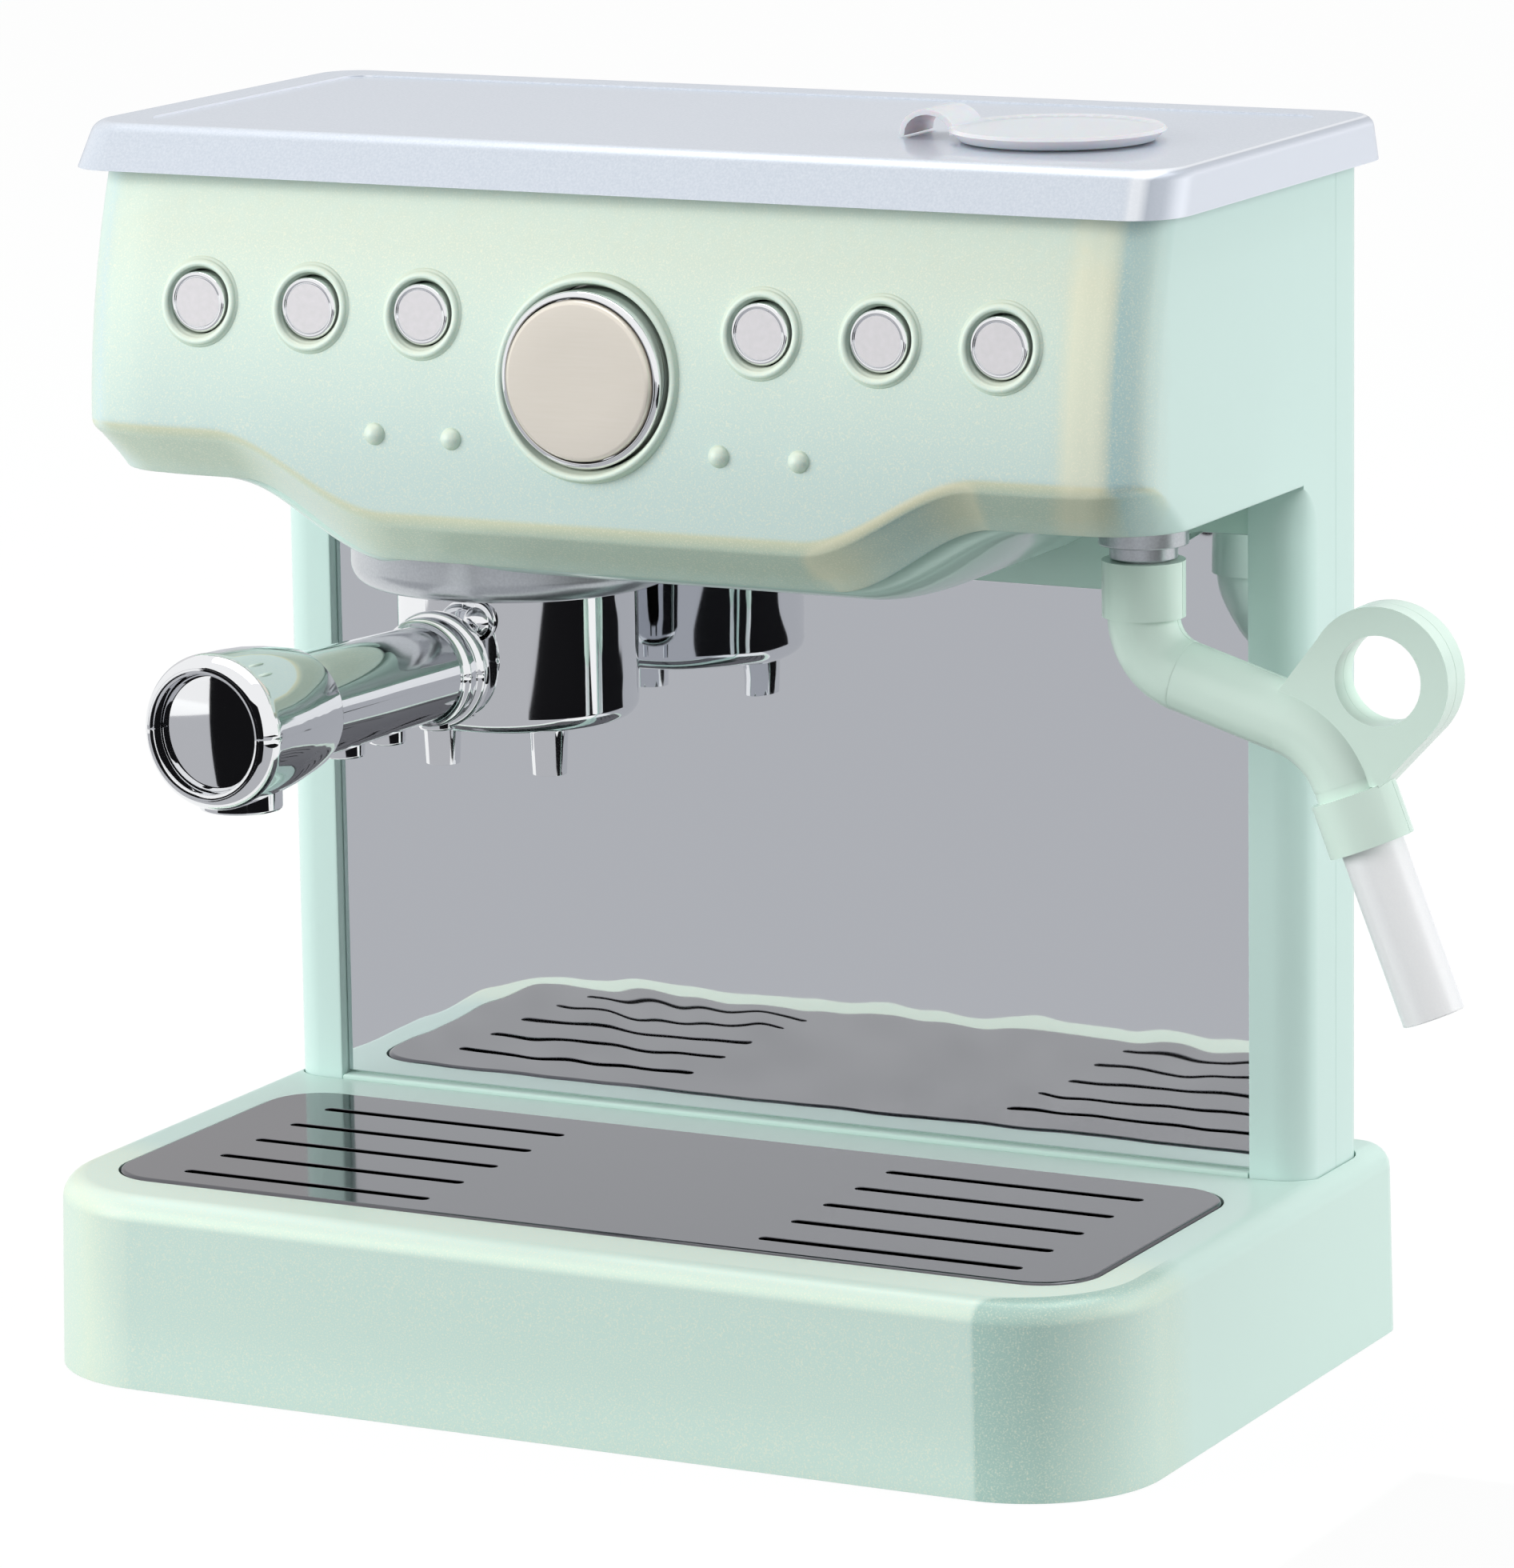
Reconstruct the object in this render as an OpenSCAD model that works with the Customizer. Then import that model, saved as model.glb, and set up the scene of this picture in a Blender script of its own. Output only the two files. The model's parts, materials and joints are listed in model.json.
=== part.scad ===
// Toy espresso machine: a hollow moulded body on a wide base, with a water tank in its head,
// a push button that opens the tank's valve, six spring buttons, a portafilter that twists
// in the group ring, a steam wand that swivels, a lift-off drip grille and a hinged fill plug.
// X runs left to right, Y from front to back and Z up. Lengths are millimetres.
// Places along Y are measured from the front edge of the base, and centred at the end.

/* [Base] */
// Width of the base
base_w = 222.6; // [216:0.2:232]
// Depth of the base from front to back
base_d = 138; // [134:1:150]
// Height of the base
base_h = 36; // [32:1:42]
// Radius of the two front corners of the base, seen from above
base_front_r = 25.5; // [20:0.5:30]
// Radius of the two back corners of the base, seen from above
base_back_r = 7; // [4:0.5:9]
// Rounding of the top edge of the base
base_edge = 4.5; // [2:0.5:6]
// How much each side of the base leans in over its height
base_draft = 0.6; // [0:0.1:1.2]
// Wall thickness of the moulded shells
wall = 2.2; // [1.6:0.1:2.6]
// Thickness of the bottom cover
plate_t = 2.6; // [2.2:0.1:3.4]
// Depth of the drip basin under the grille
basin_depth = 14; // [8:1:18]

/* [Drip grille] */
// Width of the drip grille
grille_w = 200; // [184:1:203]
// Depth of the drip grille from front to back
grille_d = 73; // [66:1:76]
// Distance from the front of the base to the grille
grille_y = 14; // [13:0.1:17]
// Corner radius of the grille
grille_r = 11; // [6:0.5:14]
// Thickness of the grille plate
grille_t = 2.4; // [2:0.1:3]
// Height of the grille's top above the base
grille_proud = 0.4; // [0.3:0.1:1]
// Number of slots in each half of the grille
slot_count = 5; // [3:1:5]
// Length of a slot
slot_l = 52; // [40:1:58]
// Width of a slot
slot_w = 2.2; // [1.5:0.1:3]
// Distance between neighbouring slots
slot_pitch = 13; // [11:0.1:13.4]

/* [Body] */
// Width of the body above the base
body_w = 215; // [210:1:216]
// Top of the body, where the lid rests
body_top = 222; // [216:1:230]
// Distance from the front of the base to the column's front
column_y = 98.7; // [97:0.1:101]
// Distance from the front of the base to the seam of the back cover
seam_y = 113.5; // [111:0.5:116]
// Distance from the front of the base to the back of the body
back_y = 127.5; // [124:0.5:129]
// Radius of the body's upright corners
corner_r = 6.4; // [4:0.1:8]
// Width of each pillar beside the mirror
pillar_w = 11.2; // [9:0.1:14]
// Radius where the head's side runs into the pillar
gusset_r = 9; // [4:0.5:12]

/* [Head] */
// Distance from the front of the base to the head's foremost line
nose_y = 27.2; // [25:0.1:29]
// Height of the head's foremost line
nose_z = 172; // [170:0.5:176]
// Radius of the head's curved front, seen from the side
nose_r = 139; // [125:1:180]
// Height of the crease along the head's front, at its sides
crease_z = 175.4; // [174:0.1:177]
// Height of the head's lower edge at its sides
lip_z = 165.6; // [164:0.1:167]
// How far the bevel under the crease leans back
lip_back = 6.8; // [5:0.1:8]
// How much lower the crease is in the middle of the head
crease_drop = 13; // [9:0.1:14]
// How much lower the front lip is in the middle of the head
lip_drop = 11.4; // [8:0.1:12]
// Half width of the low middle stretch of the lip
bib_inner = 49; // [42:1:56]
// Half width at which the lip is back at its side height
bib_outer = 77; // [70:1:84]
// Depth of the rounded belly below the head's sides
belly_drop = 16.4; // [14:0.1:17]
// Half width of the flat of the belly
belly_inner = 50; // [47:1:56]
// Half width at which the belly meets the flat underside
belly_outer = 89; // [84:1:96]

/* [Mirror] */
// Thickness of the mirror sheet
mirror_t = 0.6; // [0.4:0.1:1]
// How far the mirror's face lies behind the pillars
mirror_back = 2.3; // [1.6:0.1:3]
// Height of the mirror's top edge at its sides
mirror_top = 156; // [150:0.5:160]
// How much lower the mirror's top edge is in the middle
mirror_notch = 12; // [8:0.5:14]
// Height of the sill under the mirror, above the base
sill_h = 1.1; // [0.8:0.1:2]

/* [Lid] */
// Height of the lid
lid_h = 8.2; // [6:0.1:10]
// How far the lid's rim stands out beyond the body's sides and back
lid_over = 4; // [3:0.1:5]
// Distance from the front of the base to the lower front edge of the lid
lid_front = 29; // [27:0.1:30]
// How far the lid's front face leans back
lid_lean = 5; // [3:0.1:7]
// Corner radius of the lid
lid_r = 9; // [6:0.5:12]
// Margin around the shallow panel in the lid's top
lid_margin = 9; // [8:0.5:14]
// Depth of that shallow panel
lid_panel = 0.4; // [0.2:0.1:0.6]

/* [Fill plug] */
// Distance of the plug from the middle of the lid
plug_x = 71.5; // [66:0.5:72]
// Distance from the front of the base to the plug's centre
plug_y = 72; // [71:0.5:76]
// Radius of the plug's disc
plug_r = 19.5; // [18:0.1:21]
// Radius of the filling hole
fill_r = 15.4; // [12:0.1:16]
// Width of the plug's strap
strap_w = 12; // [8:0.5:14]
// Height of the strap's arch above the lid
strap_h = 5.4; // [4:0.2:7]

/* [Buttons] */
// Height of the six small buttons
button_z = 199.2; // [197:0.1:201]
// Distance from the middle to the nearest small button
button_x = 34.2; // [32:0.1:36]
// Distance between neighbouring small buttons
button_pitch = 23.3; // [22:0.1:24]
// Radius of a small button's cap
button_r = 6.1; // [5:0.1:6.6]
// Travel of a small button
button_travel = 2; // [1:0.1:2.5]
// Radius of the large middle button
dial_r = 16.2; // [14:0.1:17]
// Height of the large middle button
dial_z = 189.6; // [188:0.1:191]
// Travel of the large button
dial_travel = 4; // [2:0.1:4]
// Gap around each button in its hole
button_gap = 0.35; // [0.3:0.05:0.6]
// Radius of the stems behind the buttons
stem_r = 2.5; // [2:0.1:3]
// Radius of the small moulded dots on the front
dot_r = 1.8; // [1.2:0.1:2.2]

/* [Group and portafilter] */
// Distance of the group's axis from the middle, to the left
group_x = -37.5; // [-39:0.5:-34]
// Distance from the front of the base to the group's axis
group_y = 67; // [66.5:0.1:68]
// Outer radius of the group ring
ring_r = 30.8; // [29:0.1:31]
// Height of the ring's lower face
ring_z = 144.5; // [143:0.1:146]
// Outer radius of the filter basket
basket_r = 22.4; // [20:0.1:23]
// Height of the underside of the filter basket
basket_z = 120; // [117:0.5:123]
// Wall thickness of the filter basket
basket_wall = 2; // [1.6:0.1:2.6]
// Angle of the handle from straight ahead, towards the left
handle_turn = 3.8; // [0:0.1:12]
// Height of the handle's axis
handle_z = 131.5; // [130:0.5:133]
// Distance from the basket's axis to the end of the handle
handle_end = 104; // [98:1:110]
// Distance from the basket's axis to the start of the thicker grip
grip_start = 75; // [70:1:80]
// Radius of the grip at its end
grip_r = 12.5; // [11.5:0.1:13.5]
// Distance from the basket's axis to each spout pair, along the handle
spout_out = 8.5; // [6:0.5:10]
// Distance between the two spouts
spout_pitch = 23.5; // [20:0.5:26]
// Length of the spouts below the basket
spout_l = 8.8; // [6:0.1:12]

/* [Steam wand] */
// Distance of the wand's pivot from the middle, to the right
wand_x = 86; // [84:0.5:88]
// Distance from the front of the base to the wand's pivot
wand_y = 76; // [72:0.5:80]
// Radius of the wand's tube
wand_r = 6.6; // [6:0.1:7]
// Height of the lower end of the collar on the pivot
wand_z = 144.5; // [143:0.5:146]
// Radius of the bend under the collar
bend_r = 11; // [10:0.5:13]
// Slope of the arm below the horizontal
arm_slope = 17; // [12:0.5:22]
// Length of the straight arm
arm_l = 21.6; // [18:0.1:26]
// Radius of the second bend
knee_r = 18; // [15:0.5:20]
// Lean of the nozzle from the vertical
nozzle_lean = 21.5; // [16:0.5:26]
// Length of the nozzle outside its collar
nozzle_l = 32.5; // [26:0.5:38]
// Radius of the nozzle
nozzle_r = 5.8; // [5:0.1:6]
// Outer radius of the finger ring
finger_r = 13.4; // [12.6:0.1:14]
// Radius of the finger hole
finger_hole_r = 8.2; // [7:0.1:9]
// Thickness of the finger ring
finger_t = 8; // [6:0.5:9]

/* [Hidden] */
$fn = 48;

// Gap between fixed pieces, gap round moving pieces and radial play of a turning fit
fixed_gap = 0.1;
move_gap = 0.3;
turn_play = 0.05;
// Overcut that makes a cut pass through a face
eps = 0.5;
// Step that keeps two joined faces out of one plane
skin_step = 0.02;
// Number of steps in a quarter round
quarter = 6;

// Finish of each kind of surface
mint_paint = "#D3E8DC";
mint_plastic = "#C9E5D8";
lid_silver = "#CBD3DE";
chrome = "#C9CCD0";
dark_chrome = "#77777B";
satin_silver = "#B9BEC3";
natural = "#EDEFEF";
steel = "#9A9DA0";

half_body = body_w / 2;
inner_x = half_body - wall;
pillar_x = half_body - pillar_w;
pocket_depth = 2;
body_z = base_h - pocket_depth + fixed_gap;
lip_y = nose_y + lip_back;
grille_seat_z = base_h + grille_proud - grille_t;
basin_z = grille_seat_z - basin_depth;
basin_ledge = 3;
slot_forward = 2.2;

// Depths inside the head, from the front of the base
sleeve_end = nose_y + 6.8;
flange_t = 1.5;
carrier_y = sleeve_end + flange_t + dial_travel + 1.5;
belly_z = lip_z - belly_drop;
rim_r = min(4, belly_z - fixed_gap - ring_z - 0.4);
carrier_t = 2;
tank_front = nose_y + 26;
tank_back = seam_y - 3.5;
tank_z = lip_z + 6.4;
tank_top = body_top - 4.2;
tank_wall = 1.6;
tank_half = half_body - 18;
mirror_y = column_y + mirror_back;
pillar_top = lip_z + 6;
wall_y = mirror_y + mirror_t + fixed_gap;
belly_y = lip_y + wall + fixed_gap;

small_xs = [for (i = [0 : 2]) button_x + i * button_pitch];
button_xs = [-small_xs[2], -small_xs[1], -small_xs[0], small_xs[0], small_xs[1], small_xs[2]];

// Smooth step from 0 to 1, and the share of a middle bulge at a place across the width
function smooth(t) = t <= 0 ? 0 : t >= 1 ? 1 : t * t * (3 - 2 * t);
function bulge(x, inner, outer) = 1 - smooth((abs(x) - inner) / (outer - inner));
// Depth of the head's front at a height, and how far its upright corners fall back
function front_y(z) = nose_y + (z - nose_z) * (z - nose_z) / (2 * nose_r);
function corner_back(x) = let (over = abs(x) - (half_body - corner_r))
    over <= 0 ? 0 : corner_r - sqrt(max(0, corner_r * corner_r - over * over));
function crease_at(x) = crease_z - crease_drop * bulge(x, bib_inner - 2, bib_outer);
function lip_at(x) = lip_z - lip_drop * bulge(x, bib_inner, bib_outer + 2);
function belly_at(x) = lip_z - belly_drop * bulge(x, belly_inner, belly_outer);
function mirror_top_at(x) = mirror_top - mirror_notch * bulge(x, 73, 86);
// Outline of a rounded rectangle: its front corners have radius rf and its back corners rb
function corner_points(cx, cy, r, a) = [for (i = [0 : quarter])
    [cx + r * cos(a + 90 * i / quarter), cy + r * sin(a + 90 * i / quarter)]];
function round_rect(x0, x1, y0, y1, rf, rb) = concat(
    corner_points(x0 + rf, y0 + rf, rf, 180), corner_points(x1 - rf, y0 + rf, rf, 270),
    corner_points(x1 - rb, y1 - rb, rb, 0), corner_points(x0 + rb, y1 - rb, rb, 90));
function steps(from, to, n) = [for (i = [0 : n]) from + (to - from) * i / n];

// Moves the part from its front edge to the centre of the base
module place() translate([0, -base_d / 2, 0]) children();

// Extrudes a flat outline up, back or across; an outline drawn in X and Z goes back
module prism_z(z0, z1) translate([0, 0, z0]) linear_extrude(z1 - z0) children();
module prism_y(y0, y1) translate([0, y1, 0]) rotate([90, 0, 0]) linear_extrude(y1 - y0) children();
module prism_x(x0, x1) translate([x0, 0, 0]) rotate([90, 0, 90]) linear_extrude(x1 - x0) children();
module rod_z(x, y, z0, z1, r) translate([x, y, z0]) cylinder(r = r, h = z1 - z0);
module rod_y(x, z, y0, y1, r) translate([x, y1, z]) rotate([90, 0, 0]) cylinder(r = r, h = y1 - y0);
module revolve_y(x, y, z) translate([x, y, z]) rotate([-90, 0, 0]) rotate_extrude() children();

// Joins a row of outlines into one sheet. Each outline runs down the sheet's face and back up
// its inside with as many points, so that opposite points close the sheet's two ends.
module skin(rows) {
    k = len(rows[0]);
    n = len(rows);
    last = (n - 1) * k;
    sides = [for (i = [0 : n - 2], j = [0 : k - 1]) each [
        [i * k + j, (i + 1) * k + (j + 1) % k, i * k + (j + 1) % k],
        [i * k + j, (i + 1) * k + j, (i + 1) * k + (j + 1) % k]]];
    ends = [for (j = [0 : k / 2 - 2]) each [[j, k - 2 - j, k - 1 - j], [j, j + 1, k - 2 - j],
        [last + j, last + k - 2 - j, last + j + 1], [last + j, last + k - 1 - j, last + k - 2 - j]]];
    polyhedron([for (row = rows) each row], concat(sides, ends), convexity = 6);
}

// Block with upright corner radii, a rounded top edge and sides that lean in
module soft_block(x0, x1, y0, y1, z0, z1, rf, rb, edge, lean) {
    hull() {
        prism_z(z0, z0 + 0.01) polygon(round_rect(x0, x1, y0, y1, rf, rb));
        for (a = steps(0, 90, 4)) {
            d = lean + edge * (1 - cos(a));
            z = z1 - edge + edge * sin(a);
            prism_z(z - 0.01, z)
                polygon(round_rect(x0 + d, x1 - d, y0 + d, y1 - d, max(1, rf - d), max(1, rb - d)));
        }
    }
}

// Screw with a pan head at the origin and its shank along +Z
module pan_screw(length, r = 1.05) {
    cylinder(r = r, h = length);
    difference() {
        translate([0, 0, -1.3]) cylinder(r = 2.3, h = 1.3);
        for (a = [0, 90]) rotate(a) translate([-1.5, -0.3, -1.4]) cube([3, 0.6, 0.8]);
    }
}

// Helical spring of square-cut wire standing on the origin
module coil(r, wire, height, turns) {
    linear_extrude(height, twist = -360 * turns, slices = turns * 9, $fn = 5)
        translate([r, 0]) circle(r = wire, $fn = 5);
}

/* ---- Base ---- */

base_screw_x = base_w / 2 - 32;
base_screw_places = [for (x = [-base_screw_x, base_screw_x], y = [24, base_d - 16]) [x, y],
    [0, base_d - 16], [0, 9]];

module footprint(gap) {
    polygon(round_rect(-half_body - gap, half_body + gap, column_y - gap, back_y + gap,
        corner_r + gap, corner_r + gap));
}

module grille_outline(grow) {
    polygon(round_rect(-grille_w / 2 - grow, grille_w / 2 + grow, grille_y - grow,
        grille_y + grille_d + grow, grille_r + grow, grille_r + grow));
}

module base_hollow() {
    difference() {
        prism_z(-eps, base_h - wall) polygon(round_rect(wall - base_w / 2 + base_draft,
            base_w / 2 - wall - base_draft, wall + base_draft, base_d - wall - base_draft,
            base_front_r - wall, base_back_r - wall));
        prism_z(basin_z - wall, base_h) grille_outline(wall);
        prism_z(base_h - pocket_depth - wall, base_h) footprint(wall);
        for (p = base_screw_places) rod_z(p[0], p[1], plate_t + fixed_gap, base_h, 3.4);
    }
}

module base_shell() color(mint_paint) place() difference() {
    soft_block(-base_w / 2, base_w / 2, 0, base_d, 0, base_h, base_front_r, base_back_r,
        base_edge, base_draft);
    base_hollow();
    prism_z(grille_seat_z, base_h + eps) grille_outline(move_gap);
    prism_z(basin_z, base_h) grille_outline(-basin_ledge);
    prism_z(base_h - pocket_depth, base_h + eps) footprint(move_gap);
    for (p = base_screw_places) rod_z(p[0], p[1], plate_t, plate_t + 8, 1.1);
    for (p = body_screw_places) rod_z(p[0], p[1], plate_t, base_h, 1.3);
}

module bottom_cover() color(mint_plastic) place() {
    inset = wall + base_draft + move_gap;
    rib_reach = base_w / 2 - 31;
    difference() {
        union() {
            prism_z(0, plate_t) polygon(round_rect(inset - base_w / 2, base_w / 2 - inset,
                inset, base_d - inset, base_front_r - inset, base_back_r - inset));
            for (x = steps(-0.75 * rib_reach, 0.75 * rib_reach, 4))
                translate([x - 0.8, 30, plate_t]) cube([1.6, base_d - 62, 4]);
            for (y = base_d * [0.36, 0.65])
                translate([-rib_reach, y - 0.8, plate_t]) cube([2 * rib_reach, 1.6, 4]);
        }
        for (p = base_screw_places) {
            rod_z(p[0], p[1], -eps, plate_t + eps, 1.3);
            rod_z(p[0], p[1], -eps, 1.5, 2.6);
        }
    }
}

module bottom_screws() color(steel) place()
    for (p = base_screw_places) translate([p[0], p[1], 1.5]) pan_screw(7);

module drip_grille() color(dark_chrome) place() difference() {
    hull() {
        prism_z(grille_seat_z, grille_seat_z + grille_t - 1) grille_outline(0);
        for (a = [30, 60, 90])
            prism_z(grille_seat_z + grille_t - 1, grille_seat_z + grille_t - 1 + sin(a))
                grille_outline(cos(a) - 1);
    }
    for (side = [-1, 1], i = [0 : slot_count - 1]) {
        y = grille_y + grille_d / 2 - slot_forward + (i - (slot_count - 1) / 2) * slot_pitch;
        x0 = side * (grille_w / 2 - 40) - slot_l / 2;
        translate([x0 + slot_w / 2, y - slot_w / 2, 0]) cube([slot_l - slot_w, slot_w, base_h * 2]);
        for (x = [x0 + slot_w / 2, x0 + slot_l - slot_w / 2]) rod_z(x, y, 0, base_h * 2, slot_w / 2);
    }
    // Hollow underside: the plate is a shallow tray with a rim that drops on the ledge
    prism_z(grille_seat_z - eps, grille_seat_z + grille_t - 1.4) grille_outline(-basin_ledge);
}

/* ---- Body ---- */

// Stations round the head: places across the front, angles round each corner, end of the side
side_y = column_y - 18;
function corner_turn(side) = [for (a = steps(15, 90, 5)) [side * (half_body - corner_r), a, 0]];
function reversed(list) = [for (i = [len(list) - 1 : -1 : 0]) list[i]];
front_stations = concat([[-half_body, 90, side_y]], reversed(corner_turn(-1)),
    [[corner_r - half_body, 0, 0]], [for (x = steps(-bib_outer - 2, -bib_inner + 2, 9)) [x, 0, 0]],
    [[0, 0, 0]], [for (x = steps(bib_inner - 2, bib_outer + 2, 9)) [x, 0, 0]],
    [[half_body - corner_r, 0, 0]], corner_turn(1), [[half_body, 90, side_y]]);

// Point of the head's sheet at a station, a depth into its wall, a front place and a height
function sheet_point(station, deep, front, z) = let (r = corner_r - deep, side = sign(station[0]))
    station[2] > 0 ? [side * (half_body - deep), station[2], z]
        : [station[0] + side * r * sin(station[1]), front + corner_r - r * cos(station[1]), z];

// Outline of the sheet at a station: down its face, round the lip and up its inside
function sheet_outline(station) = let (
        crease = crease_at(station[0]),
        lip = lip_at(station[0]),
        heights = steps(body_top, crease, 8))
    concat([for (z = heights) sheet_point(station, 0, front_y(z), z)],
        [sheet_point(station, 0, lip_y, lip), sheet_point(station, wall, lip_y, lip + 0.3),
        sheet_point(station, wall, front_y(crease), crease + 1.4)],
        [for (i = [7 : -1 : 0]) sheet_point(station, wall, front_y(heights[i]), heights[i])]);

// Flat side wall, drawn in Y and Z
module side_outline() {
    column_front = column_y + corner_r;
    gusset = [for (a = steps(0, 90, 5))
        [column_front - gusset_r + gusset_r * sin(a), lip_z + skin_step - gusset_r + gusset_r * cos(a)]];
    polygon(concat([[side_y - eps, body_top - skin_step], [side_y - eps, lip_z + skin_step]], gusset,
        [[column_front, body_z], [seam_y, body_z], [seam_y, body_top - skin_step]]));
}

// Pillar beside the mirror, drawn in X and Y for the right side, or the room that it needs
module pillar_outline(grow) {
    r = corner_r;
    r_in = r - wall - grow;
    outer = corner_points(half_body - r, column_y + r, r + grow, 270);
    inner = [for (i = [quarter : -1 : 0]) let (a = 270 + 90 * i / quarter)
        [half_body - r + r_in * cos(a), column_y + r + r_in * sin(a)]];
    polygon(concat([[pillar_x - grow, column_y - grow]], outer, inner,
        [[pillar_x - grow, column_y + wall + grow]]));
}

module button_hole(x, z, r) rod_y(x, z, 0, sleeve_end + eps, r + button_gap);

module front_shell() color(mint_paint) place() difference() {
    union() {
        skin([for (station = front_stations) sheet_outline(station)]);
        for (side = [0, 1]) mirror([side, 0, 0]) {
            prism_x(inner_x + skin_step, half_body - skin_step) side_outline();
            prism_z(body_z, pillar_top) pillar_outline(0);
            for (z = back_screw_heights) {
                rod_y(back_screw_x, z, wall_y + wall + fixed_gap, seam_y, 3.6);
                prism_y(wall_y + wall + fixed_gap, seam_y)
                    translate([back_screw_x, z - 1]) square([inner_x + wall / 2 - back_screw_x, 2]);
            }
        }
        for (x = button_xs) rod_y(x, button_z, nose_y + 1.5, sleeve_end, button_r + 2.1);
        rod_y(0, dial_z, nose_y - 1.6, sleeve_end, dial_r + 2.8);
        for (x = [-42.9, -27.1, 27.1, 42.9])
            translate([x, nose_y - 0.1, nose_z + 5.3]) sphere(r = dot_r);
        for (p = carrier_screw_places)
            rod_y(p[0], p[1], front_y(p[1]) + wall / 2, carrier_y - fixed_gap, 3.2);
    }
    for (x = button_xs) button_hole(x, button_z, button_r);
    button_hole(0, dial_z, dial_r);
    for (p = carrier_screw_places) rod_y(p[0], p[1], carrier_y - 7, carrier_y, 1.1);
    for (p = back_screw_places) rod_y(p[0], p[1], wall_y + wall, seam_y + eps, 1.1);
}

// Underside of the head, drawn in X and Z
belly_xs = steps(-inner_x + fixed_gap, inner_x - fixed_gap, 40);
module belly_outline() polygon(concat([for (x = belly_xs) [x, belly_at(x)]],
    [for (x = reversed(belly_xs)) [x, belly_at(x) + wall]]));

// The wall above the mirror's notched top edge, drawn in X and Z
module apron_outline() {
    xs = steps(-pillar_x + fixed_gap, pillar_x - fixed_gap, 40);
    polygon(concat([for (x = xs) [x, mirror_top_at(x)]],
        [for (x = reversed(xs)) [x, belly_at(x) + wall]]));
}

tank_posts = [for (side = [-1, 1], y = [tank_front + 12, tank_back - 8]) [side * (tank_half - 20), y]];

// The strip that stands up behind the head's lip, drawn in X and Z
module lip_strip_outline() polygon(concat([for (x = belly_xs) [x, belly_at(x)]],
    [for (x = reversed(belly_xs)) [x, lip_at(x) + 4]]));

// Screws that hold the body on the base, and the height of the bosses that they enter
body_boss = 14;
body_screw_places = [for (share = [-1, -0.44, 0.44, 1])
    [share * (pillar_x - 6), wall_y + wall + 3.2]];

module inner_wall() color(mint_plastic) place() difference() {
    intersection() {
        union() {
            prism_y(belly_y, wall_y + wall) belly_outline();
            prism_y(belly_y, belly_y + wall) lip_strip_outline();
            prism_y(wall_y, wall_y + wall) polygon([[-inner_x + fixed_gap, body_z],
                [inner_x - fixed_gap, body_z], [inner_x - fixed_gap, lip_z + wall],
                [-inner_x + fixed_gap, lip_z + wall]]);
            prism_y(column_y + 1.2, wall_y + wall) apron_outline();
            prism_x(-pillar_x + fixed_gap, pillar_x - fixed_gap) polygon([[column_y, body_z],
                [column_y, base_h + 0.2], [mirror_y, base_h + sill_h], [wall_y + wall, base_h + sill_h],
                [wall_y + wall, body_z]]);
            for (p = tank_posts) rod_z(p[0], p[1], belly_at(p[0]) + wall / 2, tank_z - fixed_gap, 4);
            for (p = body_screw_places) rod_z(p[0], p[1], body_z, body_z + body_boss, 3.4);
        }
        prism_z(0, body_top) polygon(round_rect(-inner_x + fixed_gap, inner_x - fixed_gap,
            belly_y, seam_y - fixed_gap, corner_r - wall - fixed_gap, 1));
    }
    rod_z(group_x, group_y, ring_z, tank_z, ring_neck_r + fixed_gap);
    rod_z(wand_x, wand_y, ring_z, tank_z, 3.1);
    for (side = [0, 1]) mirror([side, 0, 0])
        prism_z(0, pillar_top + fixed_gap) pillar_outline(fixed_gap);
    for (p = body_screw_places) rod_z(p[0], p[1], body_z - eps, body_z + body_boss - 2, 1.1);
}

module body_screws() color(steel) place() for (p = body_screw_places)
    translate([p[0], p[1], base_h - pocket_depth - wall - fixed_gap]) pan_screw(body_boss - 3);

// Mirror sheet with its notched top edge, drawn in X and Z
module mirror_sheet() color(chrome) place() prism_y(mirror_y, mirror_y + mirror_t) {
    xs = steps(-pillar_x + fixed_gap, pillar_x - fixed_gap, 40);
    polygon(concat([[xs[0], base_h + sill_h + fixed_gap], [xs[40], base_h + sill_h + fixed_gap]],
        [for (x = reversed(xs)) [x, mirror_top_at(x) - fixed_gap]]));
}

back_screw_x = inner_x - 6;
back_screw_heights = [base_h + 14, (base_h + body_top) / 2, body_top - 16];
back_screw_places = [for (x = [-back_screw_x, back_screw_x], z = back_screw_heights) [x, z]];

module back_cover() color(mint_plastic) place() difference() {
    prism_z(body_z, body_top) back_outline(0);
    difference() {
        prism_z(body_z + wall, body_top - wall) back_outline(wall);
        for (p = back_screw_places) rod_y(p[0], p[1], seam_y + fixed_gap, back_y, 4);
    }
    for (p = back_screw_places) {
        rod_y(p[0], p[1], seam_y, back_y + eps, 1.3);
        rod_y(p[0], p[1], back_y - 5, back_y + eps, 2.7);
    }
}

// Plan of the back cover, or of its hollow when it is drawn smaller
module back_outline(inset) {
    x = half_body - inset;
    y0 = inset > 0 ? seam_y - eps : seam_y + fixed_gap;
    r = corner_r - inset;
    polygon(concat([[-x, y0], [x, y0]], corner_points(x - r, back_y - inset - r, r, 0),
        corner_points(r - x, back_y - inset - r, r, 90)));
}

module back_screws() color(steel) place() for (p = back_screw_places)
    translate([p[0], back_y - 5, p[1]]) rotate([90, 0, 0]) pan_screw(14);

/* ---- Lid and tank ---- */

lid_z = body_top + fixed_gap;
lid_top = lid_z + lid_h;
lid_half = half_body + lid_over;
lid_back = back_y + lid_over;

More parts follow.
